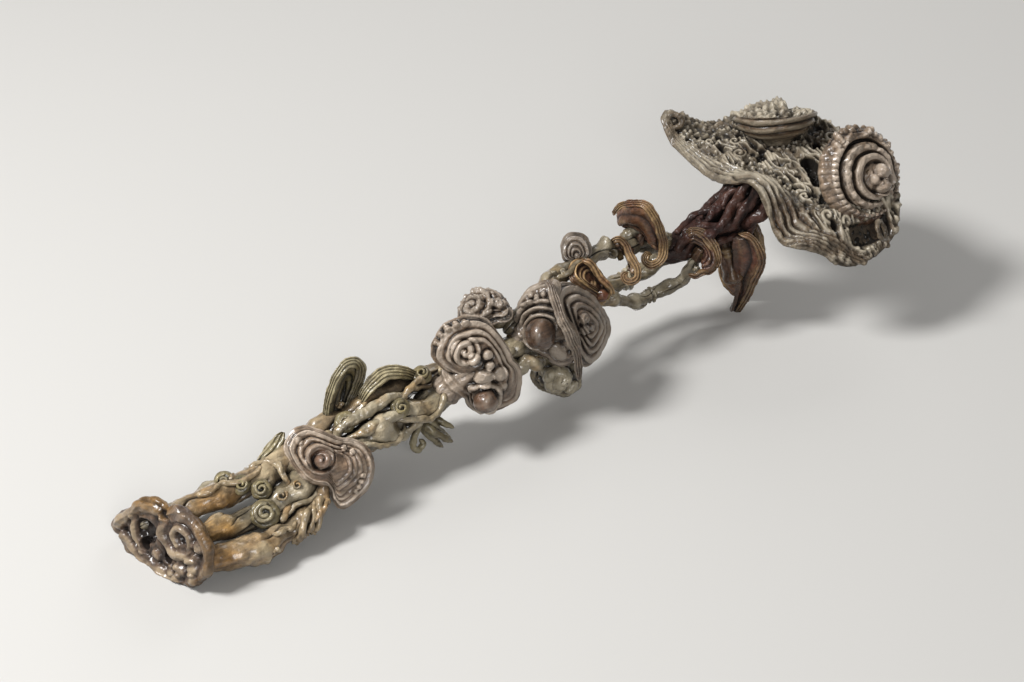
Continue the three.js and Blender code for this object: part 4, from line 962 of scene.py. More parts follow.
# Fungus caps. Hub (station, y, z), normal, toward and root (strand and knot) are those of the
# part's source; stalk is two radii. A fan has the outline and centre of its face, crown and
# droop, the rings under its rim, the carving that face_lift reads, the height of its grains,
# and the place and tone of its hub. A hood has its bulge, rings, rim line and inner line
# instead. Balls are forward, across and radius; bands are half width, ridges and knots.
CAPS = {
    "lower_cap": dict(
        slot="cap", hub=(22, -16, 32.5), normal=(-0.25, -0.86, 0.45), toward=(0.66, -0.49, -0.56),
        root=("near_strand", 7.4), stalk=(2.6, 3.4), crown=2.5, droop=(0.007, 0.012), under=3,
        outline=[
            (-15.2, -0.3), (-15.2, 4.9), (-12.3, 9.2), (-6.1, 10.6), (2.4, 11.5), (10.1, 13.7),
            (16.5, 12.9), (21.9, 7.6), (23.8, 2.1), (22.4, -4), (18.3, -12), (15, -10.6), (11, -7.8),
            (6.4, -6), (0.5, -7.6), (-4.5, -6.9), (-10.6, -4.2),
        ],
        centre=(2, 2), ridges=[(3, 0.45, 70, 222, 1.5), (5, 0.42, -58, 70, 1.0)],
        whorls=[(-1.5, 1.7, 7.2, 1.3, 2.6)], hub_at=(-1.5, 1.7),
        knobs=[
            (-12.5, 3.9, 1.6, 1.3), (5.6, 10, 1.4, 1.1), (9.6, 10.2, 1.4, 1.1), (18.6, 3.5, 1.3, 1.2),
            (19.3, 1, 1.3, 1.2), (19.7, -1.4, 1.3, 1.2), (19.6, -3.6, 1.2, 1.1), (-1.2, 1.4, 3.4, 3.0),
        ],
        hub_tone=1.35, shade=1.36,
    ),
    "middle_cap": dict(
        slot="cap", hub=(49.5, -12, 45.5), normal=(-0.3, -0.9, 0.3), toward=(0.55, -0.42, -0.72),
        root=("core_strand", 7.5), stalk=(7, 5.5), crown=5, droop=(0.008, 0.012), under=3,
        outline=[
            (-16.7, -8.2), (-20.4, 1.8), (-16.9, 10.3), (-10.2, 15.3), (-3.5, 15.2), (4.8, 13.4),
            (11.8, 10.4), (18.1, 9.1), (24, 3.8), (27.7, -1.9), (24.6, -7.4), (20.1, -13.2), (11.9, -15),
            (7.1, -11.8), (3.5, -6.5), (-1.1, -7.4), (-9.2, -9.2),
        ],
        centre=(0, 2), ridges=[(3, 0.5, 2, 222, 2.1), (2, 0.78, -70, 30, 1.2)],
        whorls=[(-9.4, 1, 7.5, 2, 2)], rings=[(13.1, -9.7, 7.3, 1.5, 1.8, *ROUND)],
        knobs=[
            (-1, 6, 2.4, 2.2), (2.7, 3.1, 2.3, 2.2), (5.1, -2.1, 4.4, 2), (9.6, 3, 3.6, 1.5),
            (-4.5, 1.1, 2.8, 2), (15, -1, 3.2, 1.2), (-20, -4.5, 1.7, 1.6), (-20.6, -0.8, 1.6, 1.6),
            (-20, 3.2, 1.7, 1.6), (-18.6, 7, 1.6, 1.6), (-16, 10, 1.6, 1.5),
        ],
        balls=[(13.1, -9.7, 5.2)], hub_tone=0.2,
    ),
    "back_cap": dict(
        slot="cap", hub=(56, 9, 55), normal=(-0.3, -0.1, 0.95), toward=(-0.4, 0.86, 0.1),
        root=("core_strand", 8.7), stalk=(4, 3.5), crown=4, droop=(0.012, 0.012), under=2,
        outline=[
            (9, 7.2), (12, 1), (11.5, -4), (7.3, -8.9), (0.9, -9.8), (-7.1, -5.5), (-10.3, -1.2),
            (-6, 2.1), (-2.3, 7.6), (2.2, 9.3),
        ],
        centre=(1, -1), ridges=[(2, 0.6, *ROUND, 1.3)], whorls=[(5.4, 2.6, 5.4, 1.4, 2.2)],
        ropes=[(1.5, 1.4, [(9, -5), (4, -5.4), (-0.6, -3), (-3, 1), (-2, 5)])],
        knobs=[(-4.6, -3.4, 3, 1.8), (2.6, -2, 1.8, 1.2)], grains=0.8, hub_tone=0.1, shade=0.66,
    ),
    "ball_cap": dict(
        slot="cap", hub=(62, -6, 54), normal=(-0.76, -0.41, 0.51), toward=(0.22, -0.9, -0.39),
        root=("core_strand", 9.7), stalk=(5, 5), crown=4, droop=(0.012, 0.012), under=2,
        outline=[
            (-8.9, -3.6), (-9.8, 2.7), (-7.3, 9.5), (-3.1, 13.2), (2.4, 8.7), (8.9, 5), (14.2, 3.5),
            (20.6, -1), (22.6, -6.2), (19.9, -12.6), (14.3, -12.8), (10.8, -13.6), (4.4, -13.8),
            (-2.4, -11.2),
        ],
        centre=(5, -4),
        rings=[
            (7.9, -5.6, 8.3, 1.5, 2, 85, 275), (7.9, -5.6, 11.3, 1.5, 2, 95, 265),
            (7.9, -5.6, 14.2, 1.4, 1.6, 100, 250),
        ],
        knobs=[
            (-5, 1, 1.6, 1.6), (-4.6, 4.4, 1.6, 1.6), (-3, 7.4, 1.5, 1.5), (-6.6, -1.6, 1.5, 1.5),
            (-7.4, 3, 1.5, 1.4), (17, -8, 4, 2), (19, -3, 2.4, 1.4),
        ],
        balls=[(7.9, -5.6, 6.8)], hub_tone=0.1, shade=0.74,
        bands=[(2.6, 4, [
            (17.6, -3.5, 66.5), (16.6, -7.5, 66.2), (15.5, -12.1, 61.6), (14.7, -17.2, 56.4),
            (15.6, -20.4, 51), (17, -22.4, 45), (19, -23.4, 38), (20, -23.6, 30), (21, -23, 23),
        ])],
    ),
    "spiral_cap": dict(
        slot="cap", hub=(68.5, -12, 45), normal=(0.25, -0.9, 0.35), toward=(0.2, -0.31, -0.93),
        root=("core_strand", 10.9), stalk=(4.5, 4.5), crown=4, droop=(0.006, 0.01), under=2,
        outline=[
            (-17.9, -6.6), (-17.6, 0.4), (-9.3, 9), (1.4, 13.3), (11.1, 16.2), (16, 14.9), (20, 6.8),
            (21.1, -3.3), (15, -7.1), (7.8, -8.1), (-0.3, -9), (-8.8, -8.8),
        ],
        centre=(0.5, -2), ridges=[(4, 0.2, *ROUND, 2)],
        knobs=[(-2.4, -2.6, 2.6, 2.6), (2, -4, 2.4, 2.2), (3.6, -0.6, 1.8, 1.4)], hub_tone=0.15,
        shade=0.74,
    ),
    "hanging_cap": dict(
        slot="bamboo", hub=(65.5, -9, 19), normal=(-0.21, -0.93, 0.31), toward=(0.71, -0.36, -0.61),
        root=("core_strand", 10.3), stalk=(4.5, 4), crown=6, droop=(0.016, 0.02), under=2,
        outline=[
            (-8.6, -7.4), (-9, -1), (-5, 1.6), (-1.6, 4.4), (3.8, 4.2), (9.6, 1.4), (12.8, -3.4),
            (10.8, -8), (5.4, -9), (-1.4, -10.4), (-6.2, -9.8),
        ],
        centre=(1, -3), whorls=[(-1, -3.6, 6.6, 1.4, 1.6)],
        knobs=[(-1, -3.6, 6.4, 2.6), (7, -4, 3.6, 2), (-6.4, -4, 3, 1.6)], grains=0.5, hub_tone=0.1,
        shade=0.8,
    ),
    "small_fan_cap": dict(
        slot="cap", hub=(74, 15, 62), normal=(-0.61, -0.61, 0.51), toward=(-0.2, 0.3, 0.9),
        root=("upper_branch", 3), stalk=(3, 2.6), crown=2, droop=(0.01, 0.01), under=1,
        outline=[
            (-2.3, 5.8), (3.4, 4.4), (5.8, 0.8), (4.4, -3), (0.6, -4.8), (-3.4, -4.4), (-5, -1.2),
            (-4.4, 3.2),
        ],
        centre=(-3.4, 0.4), ridges=[(3, 0.2, -160, 160, 1.4)], knobs=[(-3.2, 0.4, 1.3, 1.2)],
        hub_tone=0.2, shade=0.52,
    ),
    "folded_cap": dict(
        slot="russet", hub=(74.5, 3, 52), normal=(0.2, -0.84, 0.5), toward=(0.56, -0.32, -0.76),
        root=("core_strand", 12), stalk=(3.6, 3.4), crown=-0.6, droop=(0.016, -0.006), under=2,
        outline=[
            (-9.3, -6.4), (-10.9, -0.5), (-7, 4.7), (0.8, 5), (5.9, 3.2), (13.5, 0.8), (12.3, -3.9),
            (5.4, -4.8), (-2.2, -6.6),
        ],
        centre=(0, -1), ridges=[(3, 0.4, *ROUND, 1.2)], balls=[(8.5, -3.2, 3)], hub_tone=0.4, shade=1.3,
        bands=[(1.8, 2, [
            (44.6, 7, 61), (46.6, 5.1, 60.6), (48.8, 3.6, 57.7), (50.5, 1.3, 53.1), (52.7, -0.6, 49.3),
            (54.7, -1.6, 46), (55.6, -1.4, 43),
        ])],
    ),
    "curled_cap": dict(
        slot="russet", root=("upper_branch", 4.2), stalk=(3, 3), shade=0.95,
        hood=(
            2.0, 3,
            [
                (65, 12.4, 59.6), (67.4, 11.4, 61), (69.6, 9, 59.2), (70.3, 4.5, 54.3), (70.9, 0.4, 49.7),
                (69.6, -1.8, 46.2),
            ],
            [(70, 13, 54), (73, 11, 53), (75, 9, 52), (75, 8, 50), (73, 6, 47)],
        ),
        bands=[(2.2, 3, [
            (64.6, 12.6, 59), (66.2, 12, 60.8), (68.5, 10.4, 61), (69.9, 8.4, 59.2), (70.3, 4.5, 54.3),
            (70.9, 0.4, 49.7), (69.8, -1.6, 46.1), (66.9, -1.4, 44.6), (64.4, 0.7, 45), (64.4, 2.4, 47.4),
            (66.5, 2, 48.5),
        ])],
    ),
    "upright_cap": dict(
        slot="russet", root=("upper_branch", 5), stalk=(3.4, 4.2), shade=1.0,
        hood=(
            3.0, 2.4,
            [
                (76, 23.6, 65), (76.2, 18, 72.4), (77.6, 11, 76.4), (80, 5.6, 75.8), (82.6, 2.6, 70.6),
                (85.4, 2, 62.4), (87.4, 2.8, 54), (86, 2.6, 50),
            ],
            [(79, 17, 60), (80.6, 15.4, 59.4), (82, 13.4, 59), (83.4, 11.6, 58.6), (84, 10, 57)],
        ),
        bands=[(2.6, 4, [
            (75.6, 25, 64.6), (75.8, 20, 71.2), (77, 13, 76), (79.6, 6.6, 77), (82.3, 2.6, 71.2),
            (85.4, 2, 62.4), (88, 2.8, 53.4), (86.6, 1.4, 49.6), (84.2, 1.2, 47), (80.6, 2.8, 46),
            (79, 5.4, 47.8), (80.8, 6.4, 50.1), (82.6, 5.7, 50.2),
        ])],
    ),
    "ridged_cap": dict(
        slot="russet", root=("lower_branch", 5.6), stalk=(3.2, 3.4), shade=0.62,
        hood=(
            2.0, 4,
            [
                (101.4, 3.4, 55), (104.4, 1.4, 57), (107.4, -2, 55.4), (109, -6, 52.1),
                (109.4, -9.8, 48.1), (108.2, -12, 44.4), (105, -12.2, 41.4), (101, -10, 40.4),
            ],
            [(103, 2, 50), (105, 0, 50), (106, -3, 49), (105, -5, 47), (103, -6, 45)],
        ),
        bands=[
            (2.9, 4, [
                (101, 3.8, 53.6), (103.4, 2, 56.6), (107.1, -1.8, 55.5), (109, -6, 52.1),
                (109.4, -9.8, 48.1), (108.2, -12, 44.4), (105.4, -12.4, 41.8),
            ]),
            (1.8, 2, [
                (107, -12.4, 42), (103.6, -11.4, 40.2), (100.4, -10.6, 41), (97.4, -9, 39.4),
                (95, -7.4, 40.4),
            ]),
        ],
    ),
    "neck_cap": dict(
        slot="russet", root=("neck", 2.3), stalk=(5, 5), shade=0.72,
        hood=(
            -2.0, 1.6,
            [
                (124, -10, 54), (126.5, -16.4, 51.6), (127.8, -20, 46), (128.3, -19.4, 37),
                (128.7, -15, 26.1), (129, -11, 17), (129.5, -6.6, 8), (130, -2.4, 1.6),
            ],
            [
                (120, -8, 53), (119.6, -8.6, 46), (121, -8.6, 36), (122.6, -8.6, 25.3),
                (124.4, -6.6, 14.7), (126, -3, 3),
            ],
        ),
        bands=[(2.4, 3, [
            (123, -8.6, 53.6), (125.6, -14.4, 53), (127.4, -18.8, 48.4), (128.2, -20, 42),
            (128.3, -18, 34), (128.7, -14.6, 26.1), (129, -11, 17), (129.5, -6.8, 8.4), (130, -3.4, 3.2),
        ])],
    ),
    "far_neck_cap": dict(
        slot="russet", shade=0.85, hub=(106, 9, 34), normal=(0.9, 0.3, 0.1), toward=(0.1, 0.1, -1),
        root=("neck", 3), stalk=(5, 5), crown=3, droop=(0.003, 0.02), under=3, outline=oval(33, 12, 11),
        centre=(6, 0), ridges=[(3, 0.5, *ROUND, 1.6)], hub_tone=0.2,
    ),
}
# A cap's thickness and how far its stalk goes into it, how far a hood is darkened inside as painted shade,
# and the pores of a face as heights, sizes and steps of the seed
SHEET = 2.8
STALK_SINK = 2.0
HOOD_INNER_SHADE = 0.2
CAP_PORES = ((0.14, 1.6, 1), (0.28, 3, 6), (0.55, 6, 2))


def fan_skin(cap, seed):
    """A carved fan: a plate whose face is crown (1 - s^2) less the droop of the square of
    its reach, lifted by its carving, a lip, grains and pores; the back follows one sheet
    below, with rings under the rim."""
    place = frame_on(at(*cap["hub"]), cap["normal"], cap["toward"])
    size = np.ptp(np.asarray(cap["outline"], float), axis=0).max()
    rows = int(32 + 1.05 * size)
    grid = plate_grid(cap["outline"], cap["centre"], cols=int(84 + 4.2 * size), top=rows, rim=10,
                      under=rows // 3 + 10, thickness=SHEET)
    droop = cap["droop"][0] * grid.a ** 2 + cap["droop"][1] * grid.b ** 2
    face = cap["crown"] * (1 - grid.share ** 2)
    thick = SHEET * (1 + 0.8 * (1 - grid.share) ** 2)
    flat = point(place, grid.a, grid.b, 0 * grid.a)
    wavy = 1.5 * lumps(flat, 13, seed) * grid.share
    points = point(place, grid.a, grid.b, face - droop + wavy - grid.turn * thick)
    carving = face_lift(grid, cap) * ramp(0.6, 0.1, grid.turn)
    lip = 0.9 * bell(grid.share - 0.95, 0.035) * (grid.turn < 0.3)
    lip = lip + 0.5 * np.sin(3 * math.pi * grid.turn) ** 2
    gills = folds(cap["under"] * (grid.share - 0.4) / 0.6) - 0.55
    below = gills * ramp(0.4, 0.5, grid.share) * ramp(0.8, 1, grid.turn)
    crust = cap.get("grains", 0) * (grains(points, 2.2, seed + 5) - 0.4) * (grid.turn < 0.5)
    pores = layers(points, seed, CAP_PORES)
    shaped = carving + lip + below + crust
    hub = cap.get("hub_at", cap["centre"])
    tone = 0.75 * cap["hub_tone"] * bell(np.hypot(grid.a - hub[0], grid.b - hub[1]) / size, 0.15)
    tone = tone + 0.3 * patched(points, 12, seed + 3, 0.1, 0.6)
    wear_and_highlight = 0.8 * ramp(0.93, 1.0, grid.share) * (0.3 + 0.7 * patched(points, 8, seed + 4, -0.3, 0.3))
    return carved(points, shaped + pores, shaped + 0.5 * pores, tone, wear_and_highlight)


def cap_skins(name, seed):
    """A cap: its fan or hood, its fluted stalk with a collar, the balls on its face and the
    bands along its rim."""
    cap = CAPS[name]
    root = on_strand(*cap["root"])
    if "hood" in cap:
        bulge, rings, rim, inner = cap["hood"]
        skins = [hood_skin(rim, inner, bulge, rings, HOOD_INNER_SHADE, seed)]
        top, wear_and_highlight = np.array(inner[len(inner) // 2]), 0.1
    else:
        place = frame_on(at(*cap["hub"]), cap["normal"], cap["toward"])
        skins = [fan_skin(cap, seed)]
        top, wear_and_highlight = point(place, 0, 0, -STALK_SINK), 0.6
    foot, head = cap["stalk"]
    knots = [root, root + 0.35 * (top - root), root + 0.75 * (top - root), top]
    radii = np.array([foot * 1.2, foot * 0.9, head * 0.85, head * 1.2])
    way = (1, 0, 0) if abs(top - root)[2] > abs(top - root)[0] else (0, 0, 1)
    rows = int(np.linalg.norm(top - root) / 0.4) + 16
    points, share, angle, _ = rod_grid(knots, np.stack([radii, radii], axis=-1), way, rows, cols=60,
                                       nose=0.8 * foot)
    flutes = 0.13 * foot * (folds(3.5 * angle / math.pi + 0.5 * lumps(points, 8, seed + 9)) - 0.6)
    collar = 0.2 * foot * (bell(share - 0.38, 0.035) + 0.8 * bell(share - 0.46, 0.03)) * (foot > 4)
    lift = flutes + collar + layers(points, seed, ((0.14 * foot, 6, 5), (0.15, 2.5, 6)))
    skins.append(carved(points, lift, flutes + 0.4 * collar + 0.1, tone=0.05, wear_and_highlight=wear_and_highlight))
    for k, (a, b, radius) in enumerate(cap.get("balls", ())):
        sink = cap["droop"][0] * a * a + cap["droop"][1] * b * b
        centre = point(place, a, b, cap["crown"] + 0.15 * radius - sink)
        tone = 0.6 + 0.4 * cap["hub_tone"]
        skins.append(ball(centre, radius, tone, wear_and_highlight=0.1, rough=0.14 * radius, seed=seed + 7 + k, cols=40))
    for k, (half, count, line) in enumerate(cap.get("bands", ())):
        skins.append(band_skin(line, half, count, seed + 15 + k))
    return skins


# Curls: hub, normal, radius, root, turns and sense of the spiral
CURLS = {
    "scroll_curl": ((12.6, -16, 19.5), (-0.3, -0.6, 0.75), 5.7, ("core_strand", 2.5), 1.8, 1),
    "snail_curl_1": ((10, 3.5, 27.5), (-0.4, -0.5, 0.75), 3.7, ("upper_strand", 1.8), 1.4, 1),
    "snail_curl_2": ((11.8, -1.6, 26.6), (-0.3, -0.6, 0.75), 3.4, ("upper_strand", 2.3), 1.4, -1),
    "snail_curl_3": ((13.9, -7.4, 25), (-0.3, -0.6, 0.75), 3.7, ("core_strand", 2.8), 1.4, 1),
    "crescent_curl": ((29, -2, 36.5), (-0.3, -0.5, 0.8), 4.0, ("upper_strand", 5.2), 1.2, -1),
    "side_curl": ((36.8, -10, 38), (-0.2, -0.75, 0.6), 3.6, ("core_strand", 6.25), 1.4, 1),
    "top_curl": ((43, 2, 41), (-0.2, -0.4, 0.85), 3.6, ("upper_strand", 7.8), 1.4, -1),
}
CURL_THICKNESS = 2.4
CURL_SHADE = 1.22


def curl_skins(name, seed):
    """A snail on a round lens, with a stem down into its strand."""
    hub, normal, radius, root, turns, sense = CURLS[name]
    place = frame_on(at(*hub), normal, (1, 0, 0))
    grid = plate_grid(oval(*[0.9 * radius] * 3), (0, 0), cols=60, top=14, rim=8, under=8,
                      thickness=CURL_THICKNESS)
    base = point(place, grid.a, grid.b, -0.6 - CURL_THICKNESS * grid.turn + 0 * grid.a)
    top, foot = point(place, 0, 0, -CURL_THICKNESS / 2), on_strand(*root)
    stem = round_rod([foot, (foot + top) / 2, top], 0.5 * radius, (1, 0.2, 0), rows=20, cols=24, nose=1.5)
    return [coil_skin(place, radius, turns, sense, seed),
            carved(base, 0.5 * lumps(base, 3, seed), -0.1, tone=0.4, wear_and_highlight=0.1),
            carved(stem, 0.3 * lumps(stem, 3, seed + 3), -0.1)]


# Leaves: half width, ridges and line of the band. A leaf with a back also has a hood, whose rim
# lies LEAF_SINK mm behind that line; hollow is how far it is darkened towards the back, as painted shade.
LEAVES = {
    "tall_leaf": dict(
        half=2.7, ridges=4,
        line=[
            (-92.4, 8, 26), (-90.6, 9, 38), (-88, 9, 46), (-84, 9.5, 52), (-79, 10, 55.6),
            (-74.6, 9.8, 55.2), (-71.8, 9.4, 51.4), (-72.6, 8.6, 46.4), (-76, 8, 41), (-80, 7.2, 35.4),
            (-83, 6.4, 28),
        ],
        back=[
            (-82.5, 9, 25), (-81.4, 12, 34), (-80.4, 14.6, 39), (-79.7, 15.6, 41.6), (-79.5, 15.6, 41.4),
            (-80, 14.4, 38.6), (-81, 12, 34), (-82, 9, 25),
        ],
        hollow=0.5,
    ),
    "arched_leaf": dict(
        half=3.8, ridges=5, shade=1.4,
        line=[
            (-77, 4, 37.6), (-74, 4, 42.4), (-69.6, 4, 45.6), (-63, 5, 46.8), (-56.4, 5, 45),
            (-50.5, 5, 41.2), (-46, 4, 37.5),
        ],
        back=[(-76, 9, 37), (-70, 11, 40), (-63, 12, 41), (-56, 12, 40), (-48, 8, 36)], hollow=1.1,
    ),
    "pointed_leaf": dict(
        half=3.6, ridges=3,
        line=[(-127, 7, 23), (-122.6, 8, 26.6), (-118, 9, 28.6), (-114.4, 10, 31), (-111.4, 10.5, 33.4)],
    ),
}
LEAF_SINK = 1.8
LEAF_BULGE, LEAF_RINGS = 1.0, 3


def leaf_skins(name, seed):
    """A leaf: its band, and for the tall and the arched leaf a hood behind it."""
    leaf = LEAVES[name]
    skins = [band_skin(leaf["line"], leaf["half"], leaf["ridges"], seed)]
    if "back" in leaf:
        rim = np.array(leaf["line"]) - LEAF_SINK * NEAR_SIDE
        skins.append(hood_skin(rim, leaf["back"], LEAF_BULGE, LEAF_RINGS, leaf["hollow"], seed + 2))
    return skins


# Rootlets under the handle: places and radius along each
ROOTLETS = [
    [(-52, -5, 24, 3), (-50.1, -10, 23.5, 2.2), (-46.5, -11, 18, 1.8), (-41, -12, 11, 1.0)],
    [(-53, -6, 24, 3), (-52, -12, 22, 2), (-47, -15, 17, 1.6), (-43, -17, 14, 0.9)],
    [(-52, -6, 22, 3), (-51, -10, 17, 2), (-47.5, -12, 12, 1.4), (-45, -12, 8.5, 0.8)],
    [(-50, -5, 25, 2.6), (-46, -10, 23, 1.8), (-43, -12.6, 20.6, 1.4), (-40.6, -14, 18.6, 0.8)],
    [
        (-57, -6, 25, 2.4), (-57.4, -11, 25.5, 1.7), (-60.8, -13, 21.5, 1.6), (-61.4, -13, 17.2, 1.5),
        (-58.4, -12.6, 13.6, 1.5), (-55.6, -12, 16, 1.3), (-57, -11.4, 18.6, 1.0),
    ],
]


def rootlet_skin(path, seed):
    """A rootlet: a tapering rod swelled by lumps."""
    path = np.array(path)
    points = rod_grid(path[:, :3], path[:, [3, 3]], (1, 0, 0.1), rows=70, cols=26, nose=1.5)[0]
    lift = layers(points, seed, ((0.5, 4, 0), (0.25, 1.6, 1)))
    return carved(points, lift, lift + 0.2, tone=0.25, wear_and_highlight=0.5)


# Tail plate: outline forward and across, and the carving that face_lift reads
TAIL_OUTLINE = [
    (-29.1, -7.3), (-25.7, -2.1), (-17.6, 6), (-13.6, 11.4), (-4.1, 14.6), (0.6, 13.6), (6.7, 17),
    (14, 17), (20.5, 13.9), (25.2, 9.4), (26.9, 2.9), (26.2, -4.4), (22.2, -9.6), (16.7, -14.2),
    (10.1, -16), (1.5, -16.6), (-4.8, -16.6), (-12.3, -16.5), (-21.4, -14), (-25.4, -10.5),
]
TAIL_CARVING = dict(
    pits=[
        (-9, -0.4, 5.8, 4.6), (-9.4, -7.2, 2.8, 5), (4.3, -7, 2.6, 6), (0.9, 12.6, 2.4, 3),
        (12, 6, 2.4, 2),
    ],
    rings=[(11.9, 5.7, 5, 1.9, 1.7, -50, 250)],
    ropes=[
        (2.7, 1.7, [(0.8, 9), (-0.4, 4), (2.4, -0.6), (8, -3), (14, -2), (19.5, 0.8)]),
        (2.8, 1.6, [(-25, -5), (-20, 3), (-15, 8.4), (-7, 11.4), (-1.6, 11)]),
        (2.4, 1.4, [(-22, -9), (-14, -12.6), (-5, -14), (5, -14.2), (12, -12.6)]),
        (2, 1.2, [(-16.6, 2), (-16, -2.4), (-14.6, -7), (-10, -11)]),
    ],
    knobs=[
        (18.9, -4, 4, 1.7), (20, -9, 3, 1.3), (12.4, -8.4, 3.6, 1.6), (-2.4, -9.4, 3, 1.3),
        (21, 6.4, 3, 1.4), (7, -11.4, 2.6, 1),
    ],
)
TAIL_WRINKLES = ((1.0, 7, 0), (0.5, 3.6, 1), (0.18, 1.8, 5))
TAIL_SHADE = 0.86


def tail_skin(seed):
    """The tail plate: a plate, thicker towards its left, with a low rim, its face lifted
    by its carving and by lumps of three sizes. Its upper and right edges are rubbed to gold."""
    grid = plate_grid(TAIL_OUTLINE, (0, -1), cols=340, top=92, rim=26, under=34, thickness=3)
    thick = TAIL_THICKNESS * (0.58 + 0.22 * ramp(0, -24, grid.a))
    points = point(TAIL_FRAME, grid.a, grid.b, 0.8 * grid.share ** 2 * (1 - grid.turn) - thick * grid.turn)
    face = ramp(0.35, 0, grid.turn)
    carving = face_lift(grid, TAIL_CARVING) * (0.95 + 0.55 * lumps(points, 6, seed + 3)) * face
    rim = 0.9 * bell(grid.share - 0.94, 0.05) * face * (0.6 + lumps(points, 7, seed + 4))
    wrinkle = layers(points, seed, TAIL_WRINKLES)
    top = ramp(2, 11, grid.b + 4 * lumps(points, 8, seed + 2))
    top = top * ramp(0.5, 0.9, grid.share) * ramp(8, 0, grid.a)
    edge = 0.7 * ramp(0.9, 1, grid.share) * ramp(10, 22, grid.a)
    wear_and_highlight = 0.3 * ramp(0.85, 1, grid.share) * face
    shaped = carving + rim
    return carved(points, shaped + wrinkle, shaped + 0.8 * wrinkle, np.maximum(top, edge), wear_and_highlight, depth=1.5)


# Head: its middle, from a knot of the neck, and its outline as shares of its length and width
HEAD_MIDDLE = at(104, -1, 64.5) + np.array([25, 3, 5.5])
HEAD_OUTLINE = np.array([
    (-0.44, 0.5), (-0.49, 0.27), (-0.49, 0), (-0.47, -0.2), (-0.41, -0.35), (-0.26, -0.41), (-0.1, -0.47),
    (0.11, -0.48), (0.39, -0.4), (0.5, -0.18), (0.5, 0.04), (0.36, 0.25), (0.03, 0.43), (-0.29, 0.51),
]) * (HEAD_LENGTH, HEAD_WIDTH)
# The near rim's place along, and the inner end of its drapery, at each place across
DRAPE_ACROSS = (-54, -48, -42, -38, -30, -20, -10, 0, 12, 24, 38, 50, 56)
DRAPE_RIM = (-3, -12, -22, -28.5, -31.5, -33, -34, -34.3, -34.3, -34.3, -33.6, -32, -30)
DRAPE_END = (4, -5, -13, -17, -18, -17, -16, -18, -22, -27, -29.6, -30.4, -28.6)
# How far the carver lifted the near rim, at each place across
RIM_ACROSS = (-56, -50, -46, -42, -37, -31, -25, -20, -14, -5, 8, 20, 30, 40, 56)
RIM_LIFT = (0, 1, 4, 3, -4, -5, 1.5, 8, 8, 5.6, 4.6, 3, 3.4, 4, 3)
# Deep slots: a line of places along and across, and half width. Pits and scrolls: along, across, radius
HEAD_SLOTS = [([(7, -5), (5.4, -11), (3, -17)], 4.0), ([(0.4, -46), (8, -46.8), (17, -47)], 3.5)]
HEAD_PITS = [
    (-8.4, 11, 2.6), (-6, -22, 2.4), (-3, -8.5, 1.9), (-9, -14, 1.8), (-4, -28, 2.2), (-5.5, 14, 2.2),
    (-18, 29, 1.8), (-14, 36, 2), (-22, 41, 1.6), (-6, 30, 1.8), (18, 2, 2.4), (26, -6, 2), (27, 12, 2),
    (-19, -36, 1.8), (-8, -40, 2), (12, -36, 2), (27, -30, 2), (4, 40, 2),
]
HEAD_SCROLLS = [
    (-8.5, -36, 4.2), (-1, -41, 3.6), (-9, -21, 4), (-1, -28, 3.6), (-14, 20, 4), (-20, 34, 3.6),
    (-10, 28, 3.4), (28, 3, 4.4), (22, -10, 4), (30, -16, 3.6), (16, -42, 4), (26, -36, 4),
]
# Loops at the wing tip and on the right: centre, normal, radius and half width
HEAD_RINGS = [
    ((133, 52, 80), (-0.75, -0.5, 0.45), 3.2, 1.5), ((172.6, -50, 57.6), (0.5, -0.7, 0.5), 4.4, 1.0),
]
# Heights of the head's forms, and its slopes along and across
ARCH, RIGHT_DRAPE, LEFT_DRAPE, WING_TIP, CUSHION = 9, 17, 5.1, 7, 3
SLOPE_ALONG, SLOPE_ACROSS = 0.12, 0.1


def eased(y, places, values):
    """Values between places, joined by straight lines and averaged over 6 mm."""
    return sum(np.interp(y + step, places, values) for step in (-3, -1.5, 0, 1.5, 3)) / 5


def head_height(x, y):
    """Height of the head's upper face over its middle: tilted, arched over the neck,
    draped on the right and at the far left, raised at the left wing tip, under the boss and
    along the near rim."""
    u, v = x / HEAD_LENGTH, y / HEAD_WIDTH
    arch = ARCH * bell(v + 0.1, 0.12) * ramp(0.11, 0.49, -u)
    right_drape = RIGHT_DRAPE * ramp(0.31, 0.49, -v)
    left_drape = LEFT_DRAPE * ramp(0.35, 0.51, v) * ramp(-0.28, 0, u)
    wing_tip = WING_TIP * ramp(0.38, 0.51, v) * ramp(0.14, 0.43, -u)
    cushion = CUSHION * bell(v - 0.17, 0.16) * bell(u - 0.1, 0.3)
    near = eased(y, RIM_ACROSS, RIM_LIFT) * ramp(23, 1, x - eased(y, DRAPE_ACROSS, DRAPE_RIM))
    tilt = SLOPE_ALONG * x + SLOPE_ACROSS * y
    return tilt + arch - right_drape - left_drape + wing_tip + cushion + near


def head_point(x, y, lift):
    """A point over the head's middle."""
    x, y = np.broadcast_arrays(np.asarray(x, float), np.asarray(y, float))
    return HEAD_MIDDLE + np.stack([x, y, head_height(x, y) + lift], axis=-1)


